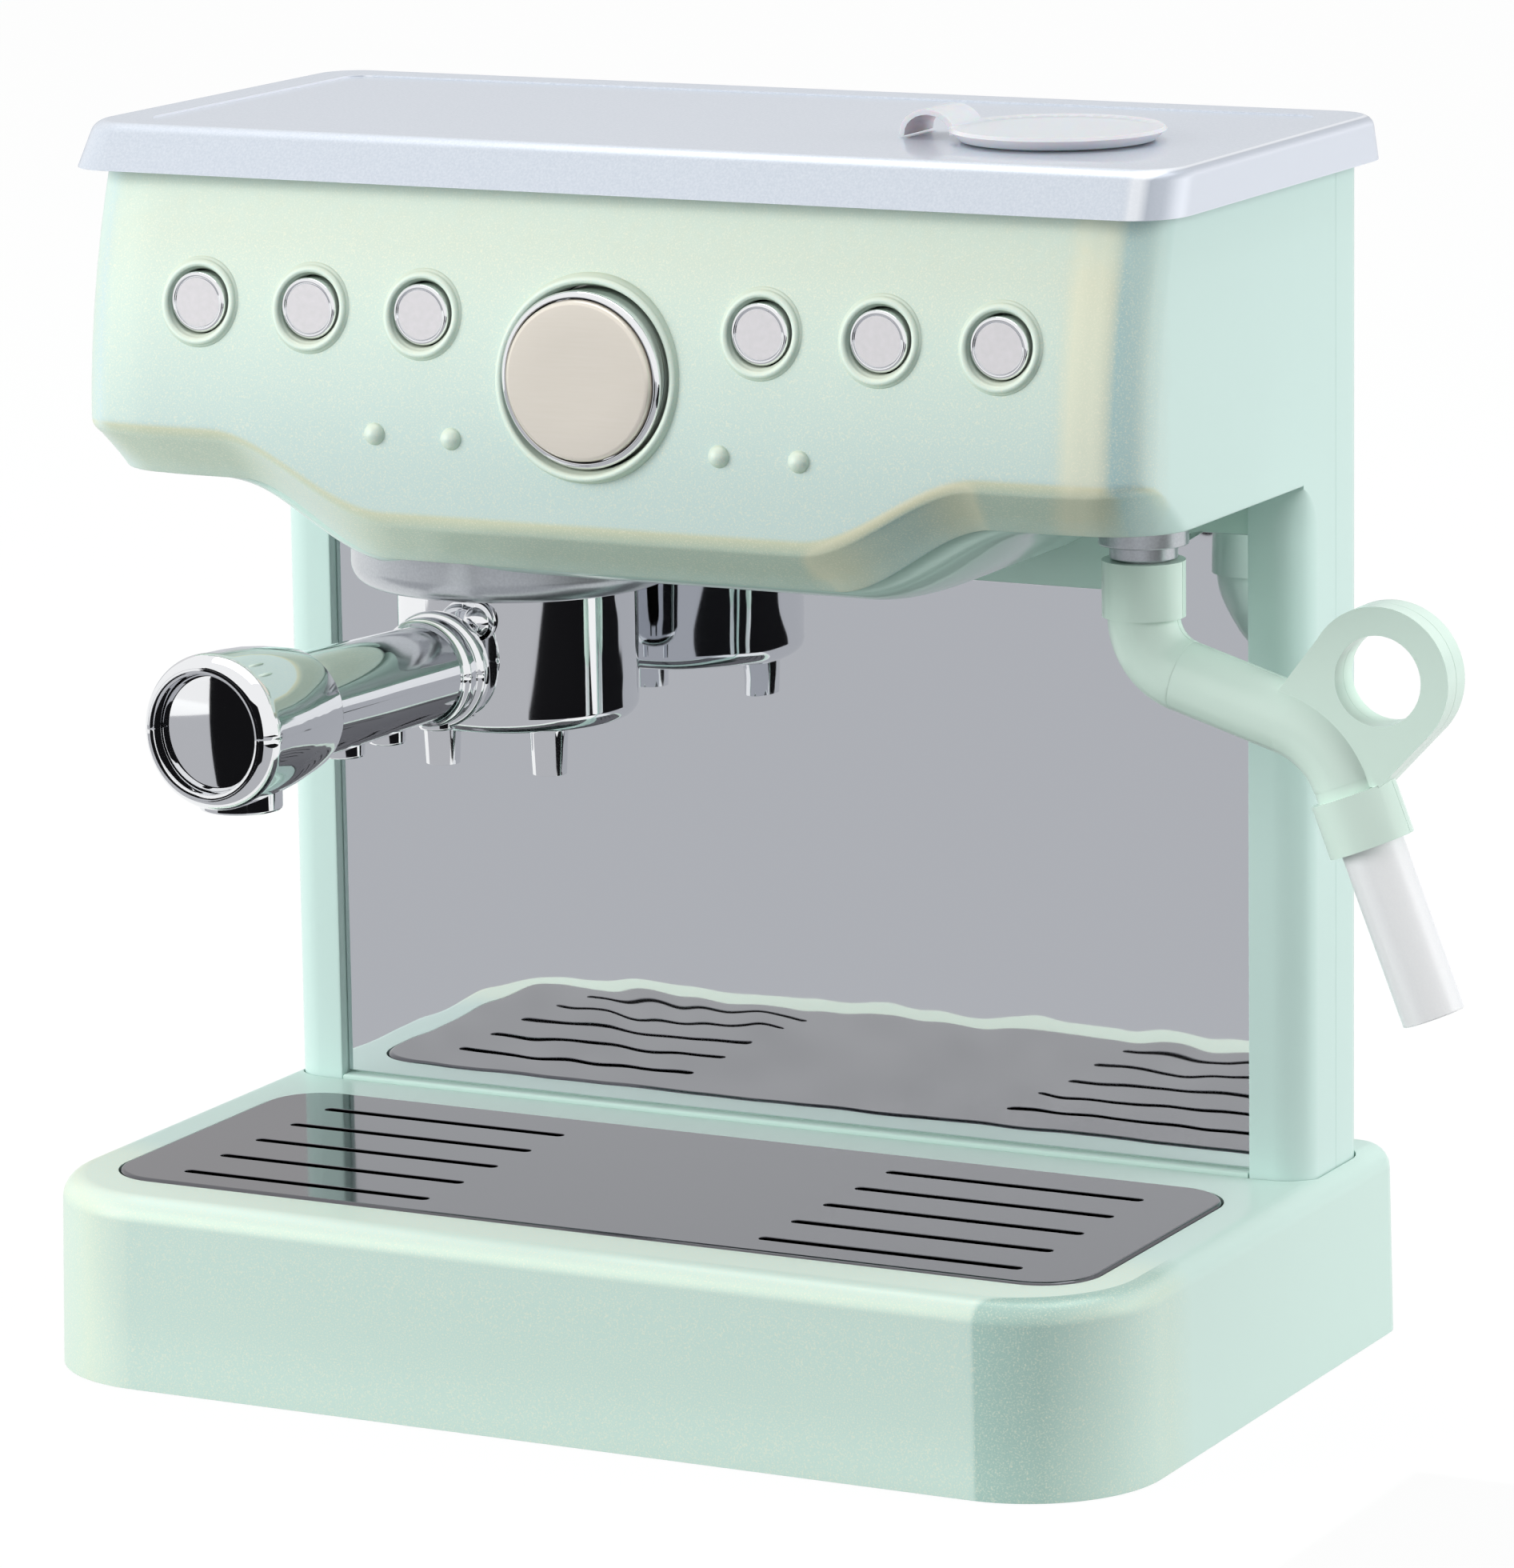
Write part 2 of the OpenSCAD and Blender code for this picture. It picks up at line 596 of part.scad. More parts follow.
// Outline of the lid at a height above its lower edge
function lid_rect(h, inset) = let (lean = lid_lean * h / lid_h, side = 0.9 * h / lid_h)
    round_rect(-lid_half + side + inset, lid_half - side - inset, lid_front + lean + inset,
        lid_back - side - inset, max(1, lid_r - inset), max(1, lid_r - inset));

module lid_form(height, inset, edge) {
    hull() {
        prism_z(lid_z, lid_z + 0.01) polygon(lid_rect(0, inset));
        for (a = steps(0, 90, 4)) {
            z = height - edge + edge * sin(a);
            prism_z(lid_z + z - 0.01, lid_z + z) polygon(lid_rect(z, inset + edge * (1 - cos(a))));
        }
    }
}

// Plan of the skirt that locates the lid inside the body
module skirt_outline(inset) {
    polygon(round_rect(-inner_x + move_gap + inset, inner_x - move_gap - inset,
        nose_y + 14 + inset, seam_y - 2 - inset, 5 - inset, 5 - inset));
}

module top_lid() color(lid_silver) place() difference() {
    union() {
        difference() {
            lid_form(lid_h, 0, 2);
            intersection() {
                lid_form(lid_h - wall, wall, 0.5);
                prism_z(lid_z + 1.6, lid_top) square(2 * base_w, center = true);
            }
        }
        prism_z(body_top - 3, lid_top - wall + 0.1) skirt_outline(0);
    }
    prism_z(body_top - 4, lid_top - wall) skirt_outline(1.6);
    prism_z(lid_top - lid_panel, lid_top + eps) polygon(round_rect(-lid_half + 1 + lid_margin,
        lid_half - 1 - lid_margin, lid_front + lid_lean + lid_margin, lid_back - 1 - lid_margin, 5, 5));
    rod_z(plug_x, plug_y, body_top, lid_top + eps, fill_r);
    translate([anchor_x - 1.3, plug_y - strap_w / 2 - fixed_gap, body_top])
        cube([2.6, strap_w + 2 * fixed_gap, 20]);
}

lid_face = lid_top - lid_panel;
hinge_x = plug_x - plug_r - 8.5;
anchor_x = hinge_x + 0.2;
hinge_z = lid_face + 0.9;
strap_t = 1;

module fill_plug() color(natural) place() {
    top = lid_face + 1.2;
    translate([plug_x, plug_y, 0]) rotate_extrude() polygon([[0, top], [fill_r - 1, top],
        [fill_r - 0.4, lid_face + 0.4], [plug_r - 2, lid_face + 0.4], [plug_r, top + 0.9],
        [plug_r - 0.5, top + 1.5], [plug_r - 2.5, top + 1], [0, top + 1]]);
    translate([plug_x, plug_y, 0]) rotate_extrude() polygon([[fill_r - 2.6, lid_face - 4.5],
        [fill_r - 0.9, lid_face - 4.5], [fill_r - 0.4, lid_face - 1], [fill_r - 0.4, top],
        [fill_r - 2.6, top]]);
    // Arched strap, with a round bead at its foot that it turns about
    reach = (plug_x - plug_r + 1.5 - hinge_x) / 2;
    rise = lid_face + strap_h - hinge_z;
    prism_y(plug_y - strap_w / 2, plug_y + strap_w / 2) polygon(concat(
        [for (a = steps(180, 0, 12)) [hinge_x + reach + (reach + strap_t / 2) * cos(a),
            hinge_z + rise * sin(a)]],
        [for (a = steps(0, 180, 12)) [hinge_x + reach + (reach - strap_t / 2) * cos(a),
            hinge_z + (rise - strap_t) * sin(a)]]));
    rod_y(hinge_x, hinge_z, plug_y - strap_w / 2, plug_y + strap_w / 2, strap_t / 2);
}

module strap_anchor() color(natural) place() {
    translate([anchor_x - 1.1, plug_y - strap_w / 2, lid_face - wall - 1.1])
        cube([2.2, strap_w, wall + 1.2]);
    translate([anchor_x - 2, plug_y - strap_w / 2, lid_face - wall - 2.4])
        cube([4, strap_w, 1.4]);
}

module tank_outline(inset) {
    polygon(round_rect(-tank_half + inset, tank_half - inset, tank_front + inset,
        tank_back - inset, 6 - inset, 6 - inset));
}

module water_tank() color(natural) place() difference() {
    union() {
        prism_z(tank_z, tank_top - 2) tank_outline(0);
        rod_y(0, dial_z, tank_front - 3, tank_front + 1, 7.5);
    }
    prism_z(tank_z + tank_wall, tank_top) tank_outline(tank_wall);
    rod_y(0, dial_z, tank_front - 4, tank_front + 4, 6 + fixed_gap);
}

module tank_cover() color(natural) place() difference() {
    union() {
        prism_z(tank_top - 2 + fixed_gap, tank_top) tank_outline(0);
        rod_z(plug_x, plug_y, tank_top - 2 + fixed_gap, lid_top - wall - fixed_gap, fill_r + 1.8);
    }
    rod_z(plug_x, plug_y, tank_top - 4, lid_top, fill_r + 0.2);
}

valve_y = tank_front - 6.5;
hose_r = 4.2;

module valve_body() color(mint_plastic) place() difference() {
    union() {
        rod_y(0, dial_z, carrier_y + carrier_t + fixed_gap, tank_front + 6, 6);
        rod_z(0, valve_y, dial_z - 11, dial_z - 2, 3);
    }
    rod_y(0, dial_z, carrier_y, tank_front + 7, stem_r + turn_play);
    rod_z(0, valve_y, dial_z - 12, dial_z, 1.6);
}

// Round hose through a list of places, with a ball at each bend
module hose(places, r) {
    for (i = [0 : len(places) - 2]) {
        way = places[i + 1] - places[i];
        translate(places[i]) rotate([0, acos(way[2] / norm(way)), atan2(way[1], way[0])])
            cylinder(r = r, h = norm(way));
    }
    for (i = [1 : len(places) - 2]) translate(places[i]) sphere(r = r + 0.05);
}

module outlet_hose() color(natural) place() difference() {
    hose([[0, valve_y, dial_z - 8], [0, valve_y, tank_z - 6], [group_x, group_y, tank_z - 7],
        [group_x, group_y, ring_z + 10]], hose_r);
    rod_z(0, valve_y, tank_z - 2, dial_z - 6, 3 + turn_play);
    rod_z(group_x, group_y, ring_z, tank_z - 9, spigot_r + turn_play);
}

/* ---- Buttons ---- */

// The carrier's half width, the middle between two buttons and the places of its screws
carrier_half = small_xs[2] + 17.2;
between_x = (small_xs[0] + small_xs[1]) / 2;
carrier_screw_places = [for (side = [-1, 1], p = [[between_x, 13], [carrier_half - 6, -14]])
    [side * p[0], button_z + p[1]]];

module button_carrier() color(natural) place() difference() {
    union() {
        // Collars that stop the flanges at the end of the travel
        for (x = button_xs)
            rod_y(x, button_z, sleeve_end + flange_t + button_travel + move_gap, carrier_y + eps, 3.3);
        prism_y(carrier_y, carrier_y + carrier_t) difference() {
            polygon([[-carrier_half, button_z - 20], [carrier_half, button_z - 20],
                [carrier_half, button_z + 10], [small_xs[1] + 2.5, button_z + 17],
                [-small_xs[1] - 2.5, button_z + 17], [-carrier_half, button_z + 10]]);
            for (side = [-1, 1])
                translate([side * between_x, button_z - 12]) square([button_pitch, 7], center = true);
            translate([-7, button_z - 21]) square([14, dial_z - 4 - button_z + 21]);
        }
    }
    for (x = button_xs) rod_y(x, button_z, 0, body_w, stem_r + turn_play);
    rod_y(0, dial_z, 0, body_w, stem_r + 0.4);
    for (p = carrier_screw_places) rod_y(p[0], p[1], 0, body_w, 1.3);
}

module carrier_screws() color(steel) place() for (p = carrier_screw_places)
    translate([p[0], carrier_y + carrier_t, p[1]]) rotate([90, 0, 0]) pan_screw(carrier_t + 5);

// Chrome cap with a rounded rim, a flange behind the panel and a stem through the carrier
module small_button(i) color(chrome) place() {
    front = nose_y + 0.1;
    x = button_xs[i];
    revolve_y(x, 0, button_z) polygon(concat([[0, front]],
        [for (a = steps(0, 90, 4)) [button_r - 1 + sin(a), front + 1 - cos(a)]],
        [[button_r, sleeve_end + move_gap], [button_r + 1.9, sleeve_end + move_gap],
        [button_r + 1.9, sleeve_end + flange_t], [stem_r, sleeve_end + flange_t],
        [stem_r, carrier_y + carrier_t + 2], [0, carrier_y + carrier_t + 2]]));
}

module small_spring(i) color(steel) place()
    translate([button_xs[i], sleeve_end + 1.9, button_z]) rotate([-90, 0, 0])
        coil(4, 0.35, carrier_y - sleeve_end - 2.3, 4);

module dial_button() color(chrome) place() {
    front = nose_y - 3.6;
    revolve_y(0, 0, dial_z) polygon(concat([[stem_r, front + 0.2], [dial_r - 1.8, front + 0.2],
        [dial_r - 1.8, front - 0.6]],
        [for (a = steps(30, 90, 3)) [dial_r - 1.4 + 1.4 * sin(a), front + 0.6 - 1.2 * cos(a)]],
        [[dial_r, sleeve_end + move_gap], [dial_r + 2.4, sleeve_end + move_gap],
        [dial_r + 2.4, sleeve_end + flange_t], [dial_r - 2, sleeve_end + flange_t],
        [dial_r - 2, front + 2.4], [stem_r, front + 2.4]]));
}

module dial_face() color("#D9D2C6") place()
    rod_y(0, dial_z, nose_y - 5, nose_y - 3.5, dial_r - 1.8 - fixed_gap);

module valve_plunger() color(natural) place() {
    rod_y(0, dial_z, nose_y - 3.4, tank_front + 6.5, stem_r - fixed_gap / 4);
    rod_y(0, dial_z, tank_front + 6 + move_gap, tank_front + 8, stem_r + 1.2);
}

module dial_spring() color(steel) place()
    translate([0, nose_y - 0.9, dial_z]) rotate([-90, 0, 0])
        coil(8, 0.5, carrier_y - nose_y + 0.5, 5);

/* ---- Group and portafilter ---- */

ring_neck_r = ring_r - 3.3;
ring_lip_r = basket_r + 0.5;
groove_r = basket_r + 3.3;
spigot_r = 3.6;
ring_roof_z = ring_z + 5.7;
unlock_turn = 40;

module lug_sector(r0, r1, z0, z1, half_angle) {
    translate([0, 0, z0]) rotate(-half_angle)
        rotate_extrude(angle = 2 * half_angle) polygon([[r0, 0], [r1, 0], [r1, z1 - z0], [r0, z1 - z0]]);
}

module group_ring() color(satin_silver) place() translate([group_x, group_y, 0]) difference() {
    rotate_extrude($fn = 96) polygon(concat([[ring_lip_r, ring_z], [ring_r - rim_r, ring_z]],
        [for (a = steps(15, 90, 5))
            [ring_r - rim_r + rim_r * sin(a), ring_z + rim_r - rim_r * cos(a)]],
        [[ring_r, belly_z - fixed_gap], [ring_neck_r, belly_z - fixed_gap], [ring_neck_r, ring_z + 15],
        [ring_neck_r - 1.6, ring_z + 15], [ring_neck_r - 1.6, ring_roof_z + 1.8],
        [spigot_r, ring_roof_z + 1.8], [spigot_r, ring_roof_z + 7], [1.8, ring_roof_z + 7],
        [1.8, ring_roof_z], [groove_r, ring_roof_z], [groove_r, ring_z + 2.2],
        [ring_lip_r, ring_z + 2.2]]));
    for (a = [0, 120, 240]) rotate(a - unlock_turn - handle_turn - 30)
        lug_sector(ring_lip_r - 1, groove_r - 0.1, ring_z - 1, ring_z + 3, 15);
}

module shower_plate() color(satin_silver) place() translate([group_x, group_y, 0]) difference() {
    translate([0, 0, ring_roof_z - 1.4]) cylinder(r = basket_r - basket_wall - 1.2, h = 1.3);
    for (ring = [[6, 6], [12, 12], [17, 15]], i = [0 : ring[1] - 1])
        rotate(360 * i / ring[1]) rod_z(ring[0], 0, 0, body_top, 0.8);
}

// Points along the handle: X is the distance from the basket's axis, Y goes across
module handle_frame() translate([group_x, group_y, handle_z]) rotate(-90 - handle_turn) children();
// Solid of revolution about the handle's axis, drawn as distance along it and radius
module turn_about_handle() rotate([90, 0, 90]) rotate_extrude() children();

basket_top = ring_roof_z - 0.8;
neck_end = basket_r + 18;

module filter_basket() color(chrome) place() {
    difference() {
        union() {
            translate([group_x, group_y, 0]) rotate_extrude($fn = 96) polygon(concat([[0, basket_z]],
                [for (a = steps(0, 90, 5)) [basket_r - 3 + 3 * sin(a), basket_z + 3 - 3 * cos(a)]],
                [[basket_r, basket_top], [0, basket_top]]));
            // Neck with its flare, which the handle halves clamp
            handle_frame() turn_about_handle() polygon([[0, basket_r - 1.2], [6.6, basket_r - 1.2],
                [6.4, basket_r + 2], [6.4, neck_end], [0, neck_end]]);
            // Domed knob over the neck
            handle_frame() translate([basket_r - 0.6, 5.6, 8.8]) {
                sphere(r = 3);
                rotate([0, 90, 0]) cylinder(r = 3.6, h = 1.2);
            }
            translate([group_x, group_y, 0]) for (a = [0, 120, 240]) rotate(a - handle_turn - 30)
                lug_sector(basket_r - 1, groove_r - 0.4, ring_z + 2.5, ring_z + 4.5, 12);
            handle_frame() for (side = [-1, 1])
                translate([spout_out, side * spout_pitch / 2, basket_z - spout_l - handle_z])
                    cylinder(r1 = 3.2, r2 = 3.7, h = spout_l + 1);
        }
        translate([group_x, group_y, basket_z + basket_wall])
            cylinder(r = basket_r - basket_wall, h = 60, $fn = 96);
        handle_frame() for (side = [-1, 1])
            translate([spout_out, side * spout_pitch / 2, basket_z - spout_l - handle_z - 1])
                cylinder(r = 2, h = spout_l + basket_wall + 2);
    }
}

shaft_start = basket_r + 3.6;

rim_round = 3.5;
cap_sink = 2.2;

// Outside of the handle: two collars, a shaft that widens and a thicker grip
module handle_form() {
    turn_about_handle() polygon(concat([[0, shaft_start], [9.6, shaft_start],
        [11, shaft_start + 1], [11, shaft_start + 3.4], [10.2, shaft_start + 4],
        [10.2, shaft_start + 6.4], [8.9, shaft_start + 7.2], [10, grip_start], [10.9, grip_start]],
        [for (a = steps(0, 90, 5))
            [grip_r - rim_round * (1 - cos(a)), handle_end - rim_round * (1 - sin(a))]],
        [[0, handle_end]]));
}

// Seats below the handle, as distance along it and radius: the first lies over the neck and
// has no screw
screw_seats = [[neck_end - 12.4, 3.4], [neck_end + 4.2, 3.4], [grip_start - 16, 4],
    [handle_end - 19, 4.9]];

module handle_half(side) difference() {
    intersection() {
        union() {
            handle_form();
            for (s = screw_seats) if (side < 0) translate([s[0], 0, -seat_drop(s[0])])
                cylinder(r = s[1], h = 8);
        }
        translate([0, -30, side > 0 ? fixed_gap / 2 : -30]) cube([handle_end + 10, 60, 30 - fixed_gap / 2]);
    }
    // Socket for the neck, the inset cap and the screws
    turn_about_handle() square([6.4 + turn_play, neck_end + 0.2]);
    turn_about_handle() polygon([[0, handle_end - cap_sink - 1.4],
        [grip_r - 2.6, handle_end - cap_sink - 1.4], [grip_r - 2.6, handle_end - 1.4],
        [grip_r - 1.6, handle_end + eps], [0, handle_end + eps]]);
    for (s = screw_seats) if (s[0] > neck_end) translate([s[0], 0, 0]) {
        translate([0, 0, -30]) cylinder(r = side > 0 ? 1.1 : 1.3, h = 36);
        if (side < 0) translate([0, 0, -30]) cylinder(r = 2.6, h = 30 - 6);
    }
}

// Depth of a screw seat's end below the handle's axis
function seat_drop(x) = x > grip_start ? grip_r + 0.6 : 11;

module handle_top() color(chrome) place() handle_frame() handle_half(1);
module handle_bottom() color(chrome) place() handle_frame() handle_half(-1);

module handle_cap() color(chrome) place() handle_frame() turn_about_handle()
    polygon([[0, handle_end - cap_sink - 1.3], [grip_r - 2.7, handle_end - cap_sink - 1.3],
        [grip_r - 2.7, handle_end - cap_sink - 0.3], [grip_r - 3, handle_end - cap_sink],
        [0, handle_end - cap_sink]]);

module handle_screws() color(steel) place() handle_frame()
    for (s = screw_seats) if (s[0] > neck_end) translate([s[0], 0, -6]) pan_screw(10);

/* ---- Steam wand ---- */

pivot_r = 4.5;
pivot_flange_r = 5.6;
pivot_z = wand_z + 2.4;
collar_top = wand_z + 10.2;

module wand_socket() color(satin_silver) place() {
    translate([wand_x, wand_y, 0]) rotate_extrude()
        polygon([[0, wand_z + 0.4], [pivot_flange_r, wand_z + 0.4], [pivot_flange_r, pivot_z - 0.1],
            [pivot_r, pivot_z - 0.1], [pivot_r, collar_top + move_gap], [6.2, collar_top + move_gap],
            [6.2, collar_top + 3], [3, collar_top + 3], [3, lip_z + 6], [0, lip_z + 6]]);
    // Disc whose top follows the belly
    difference() {
        rod_z(wand_x, wand_y, collar_top + 2.9, lip_z, 8.2);
        rod_z(wand_x, wand_y, collar_top, lip_z + 1, 2.9);
        xs = [for (x = belly_xs) if (x > belly_inner) x];
        prism_y(wand_y - 10, wand_y + 10) polygon(concat([for (x = xs) [x, belly_at(x) - fixed_gap]],
            [[inner_x, lip_z + 9], [xs[0], lip_z + 9]]));
    }
}

// Points of the wand's centre line, in X and Z from the pivot
bend_end = [bend_r * (1 - sin(arm_slope)), wand_z - bend_r * cos(arm_slope)];
arm_way = [cos(arm_slope), -sin(arm_slope)];
arm_end = bend_end + arm_l * arm_way;
knee_centre = arm_end - knee_r * [sin(arm_slope), cos(arm_slope)];
knee_end = knee_centre + knee_r * [cos(nozzle_lean), sin(nozzle_lean)];
nozzle_way = [sin(nozzle_lean), -cos(nozzle_lean)];
finger_centre = knee_end + [7, 19.4];

// Draws in the wand's own plane: X is across and Y is up
module wand_plane() translate([wand_x, wand_y, 0]) rotate([90, 0, 0]) children();

// Straight stretch from a point in the wand's plane
module stretch(from, slope, r, length)
    translate([from[0], from[1], 0]) rotate([0, 0, slope]) rotate([0, 90, 0]) cylinder(r = r, h = length);

// Bend about a centre, from one angle to another
module bend(centre, radius, a0, a1, r)
    translate([centre[0], centre[1], 0]) rotate(a0)
        rotate_extrude(angle = a1 - a0) translate([radius, 0]) circle(r = r);

module wand_form() {
    wand_plane() {
        bend([bend_r, wand_z], bend_r, 180, 270 - arm_slope, wand_r);
        stretch(bend_end - 0.5 * arm_way, -arm_slope, wand_r - 0.05, arm_l + 1);
        bend(knee_centre, knee_r, nozzle_lean, 90 - arm_slope, wand_r);
        stretch(knee_end - 0.5 * nozzle_way, nozzle_lean - 90, wand_r - 0.05, 3.5);
        stretch(knee_end + 2 * nozzle_way, nozzle_lean - 90, nozzle_r + 2.1, 10);
        // Finger ring on a web that runs down to the knee
        left = finger_centre + finger_r * [cos(135), sin(135)];
        right = finger_centre + finger_r * [cos(-40), sin(-40)];
        translate([0, 0, -finger_t / 2]) linear_extrude(finger_t) {
            translate(finger_centre) circle(r = finger_r, $fn = 64);
            polygon([left, bend_end + (arm_l - 1) * arm_way + [0, 5],
                knee_end + [-3, 0], knee_end + 2.5 * nozzle_way + [6.5, 2.6], right]);
        }
    }
    rod_z(wand_x, wand_y, wand_z - 0.1, collar_top, wand_r + 1);
}

module wand_half(front) difference() {
    intersection() {
        wand_form();
        translate([wand_x - 30, front ? wand_y - 30 : wand_y + fixed_gap / 2, 0])
            cube([200, 30 - fixed_gap / 2, body_top]);
    }
    rod_z(wand_x, wand_y, pivot_z - 0.5, collar_top + 1, pivot_r + turn_play);
    rod_z(wand_x, wand_y, wand_z, pivot_z + move_gap, pivot_flange_r + move_gap);
    wand_plane() {
        translate([finger_centre[0], finger_centre[1], -finger_t])
            cylinder(r = finger_hole_r, h = 2 * finger_t);
        stretch(knee_end + 3 * nozzle_way, nozzle_lean - 90, nozzle_r + turn_play, 10);
    }
}

module wand_front() color(mint_plastic) place() wand_half(true);
module wand_rear() color(mint_plastic) place() wand_half(false);

module wand_nozzle() color(natural) place() wand_plane() difference() {
    stretch(knee_end + 3.1 * nozzle_way, nozzle_lean - 90, nozzle_r, nozzle_l + 9);
    stretch(knee_end + 20 * nozzle_way, nozzle_lean - 90, nozzle_r - 1.6, nozzle_l + 9);
}

base_shell();
bottom_cover();
bottom_screws();
drip_grille();
front_shell();
inner_wall();
mirror_sheet();
body_screws();
back_cover();
back_screws();
top_lid();
fill_plug();
strap_anchor();
water_tank();
tank_cover();
valve_body();
outlet_hose();
button_carrier();
carrier_screws();
small_button(0);  // button_1
small_button(1);  // button_2
small_button(2);  // button_3
small_button(3);  // button_4
small_button(4);  // button_5
small_button(5);  // button_6
small_spring(0);  // button_spring_1
small_spring(1);  // button_spring_2
small_spring(2);  // button_spring_3
small_spring(3);  // button_spring_4
small_spring(4);  // button_spring_5
small_spring(5);  // button_spring_6
dial_button();
dial_face();
valve_plunger();
dial_spring();
group_ring();
shower_plate();
filter_basket();
handle_top();
handle_bottom();
handle_cap();
handle_screws();
wand_socket();
wand_front();
wand_rear();
wand_nozzle();
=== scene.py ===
# %% [markdown]
# # Toy coffee maker
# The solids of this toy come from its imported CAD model, in metres and in place. This script gives
# every visible piece the soft edges, lacquer, plating and gloss of the real toy. Large painted and
# plated forms are modelled again with finer curves, each in the place of its solid, and smaller
# pieces keep their solid's shape.

# %% Load the model
import json
import math

import bmesh
import bpy
from mathutils import Matrix, Vector

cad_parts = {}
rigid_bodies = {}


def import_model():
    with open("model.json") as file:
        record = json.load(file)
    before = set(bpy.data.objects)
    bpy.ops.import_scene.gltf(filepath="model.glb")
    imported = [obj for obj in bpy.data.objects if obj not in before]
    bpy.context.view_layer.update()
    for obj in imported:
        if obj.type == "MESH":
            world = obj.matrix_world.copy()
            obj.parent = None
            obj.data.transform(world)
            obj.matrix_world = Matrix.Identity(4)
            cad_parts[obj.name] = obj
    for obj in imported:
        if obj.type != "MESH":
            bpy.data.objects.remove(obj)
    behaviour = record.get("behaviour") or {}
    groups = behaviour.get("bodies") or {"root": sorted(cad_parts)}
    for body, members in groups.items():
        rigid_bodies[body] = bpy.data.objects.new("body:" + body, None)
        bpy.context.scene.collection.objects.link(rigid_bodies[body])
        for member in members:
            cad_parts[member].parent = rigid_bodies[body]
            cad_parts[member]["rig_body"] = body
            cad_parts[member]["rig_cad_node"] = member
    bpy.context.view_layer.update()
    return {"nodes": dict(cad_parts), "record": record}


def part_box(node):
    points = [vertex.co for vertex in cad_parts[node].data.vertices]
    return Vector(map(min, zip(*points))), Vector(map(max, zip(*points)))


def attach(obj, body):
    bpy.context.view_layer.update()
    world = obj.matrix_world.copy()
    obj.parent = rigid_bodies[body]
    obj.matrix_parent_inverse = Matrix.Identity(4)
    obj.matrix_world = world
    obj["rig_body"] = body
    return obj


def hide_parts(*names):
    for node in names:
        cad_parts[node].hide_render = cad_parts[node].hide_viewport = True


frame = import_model()
body_of_node = {n: b for b, ns in frame["record"]["behaviour"]["bodies"].items() for n in ns}
slot_of_node = {s["node"]: s["material_slot"] for s in frame["record"]["subparts"]}
MM = 0.001
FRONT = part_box("base_shell")[0].y

# %% [markdown]
# ## Camera
# The camera stands to the right and a little above the toy. A long lens keeps the edges of the
# base nearly parallel, and a small shift puts the toy where it sits in the frame.

# %% Camera
CAMERA_AZIMUTH = math.radians(27.424)
CAMERA_ELEVATION = math.radians(10.967)
CAMERA_ROLL = math.radians(-0.888)
CAMERA_TARGET = Vector((0.3, 6.18, 120.1)) * MM
CAMERA_DISTANCE = 1.43291
SENSOR = 36.0

back = Vector((math.sin(CAMERA_AZIMUTH) * math.cos(CAMERA_ELEVATION),
               -math.cos(CAMERA_AZIMUTH) * math.cos(CAMERA_ELEVATION), math.sin(CAMERA_ELEVATION)))
level_right = (-back).cross(Vector((0, 0, 1))).normalized()
level_up = level_right.cross(-back)
right = level_right * math.cos(CAMERA_ROLL) + level_up * math.sin(CAMERA_ROLL)
up = level_up * math.cos(CAMERA_ROLL) - level_right * math.sin(CAMERA_ROLL)
camera_data = bpy.data.cameras.new("camera")
camera_data.sensor_width = SENSOR
camera_data.lens = 177.64
camera_data.shift_x = 0.02357
camera_data.shift_y = -0.04483
camera_data.clip_end = 50
camera = bpy.data.objects.new("camera", camera_data)
bpy.context.scene.collection.objects.link(camera)
turn = Matrix((right, up, back)).transposed().to_4x4()
camera.matrix_world = Matrix.Translation(CAMERA_TARGET + back * CAMERA_DISTANCE) @ turn
bpy.context.scene.camera = camera
print("camera at", [round(v, 3) for v in camera.location])

# %% [markdown]
# ## Helpers for the finishes
# Colours are written as sRGB hex values, as they look on a screen, and Blender works in linear
# light, so one function converts them. Another adds one shader node with its settings and links.

# %% Colour and node helpers
def linear(code, alpha=1.0):
    values = [int(code[i:i + 2], 16) / 255 for i in (1, 3, 5)]
    light = [v / 12.92 if v <= 0.04045 else ((v + 0.055) / 1.055) ** 2.4 for v in values]
    return tuple(light + [alpha])


def add_node(tree, kind, settings=None, inputs=None, links=None):
    node = tree.nodes.new(kind)
    for key, value in (settings or {}).items():
        setattr(node, key, value)
    for key, value in (inputs or {}).items():
        node.inputs[key].default_value = value
    for key, source in (links or {}).items():
        tree.links.new(source, node.inputs[key])
    return node


def new_finish(name):
    finish = bpy.data.materials.new(name)
    finish.use_nodes = True
    finish.node_tree.nodes.clear()
    return finish, finish.node_tree


def end_finish(tree, shader):
    add_node(tree, "ShaderNodeOutputMaterial", links={"Surface": shader.outputs[0]})


def ramp(tree, source, stops):
    node = add_node(tree, "ShaderNodeValToRGB", links={"Fac": source})
    while len(node.color_ramp.elements) < len(stops):
        node.color_ramp.elements.new(0.5)
    for element, (place, colour) in zip(node.color_ramp.elements, stops):
        element.position = place
        element.color = colour
    return node


def noise(tree, per_mm, detail):
    place = add_node(tree, "ShaderNodeTexCoord")
    return add_node(tree, "ShaderNodeTexNoise", inputs={"Scale": per_mm / MM, "Detail": detail,
                    "Roughness": 0.5}, links={"Vector": place.outputs["Object"]})


def bump(tree, height, depth_mm, strength):
    return add_node(tree, "ShaderNodeBump", inputs={"Strength": strength,
                    "Distance": depth_mm * MM}, links={"Height": height})

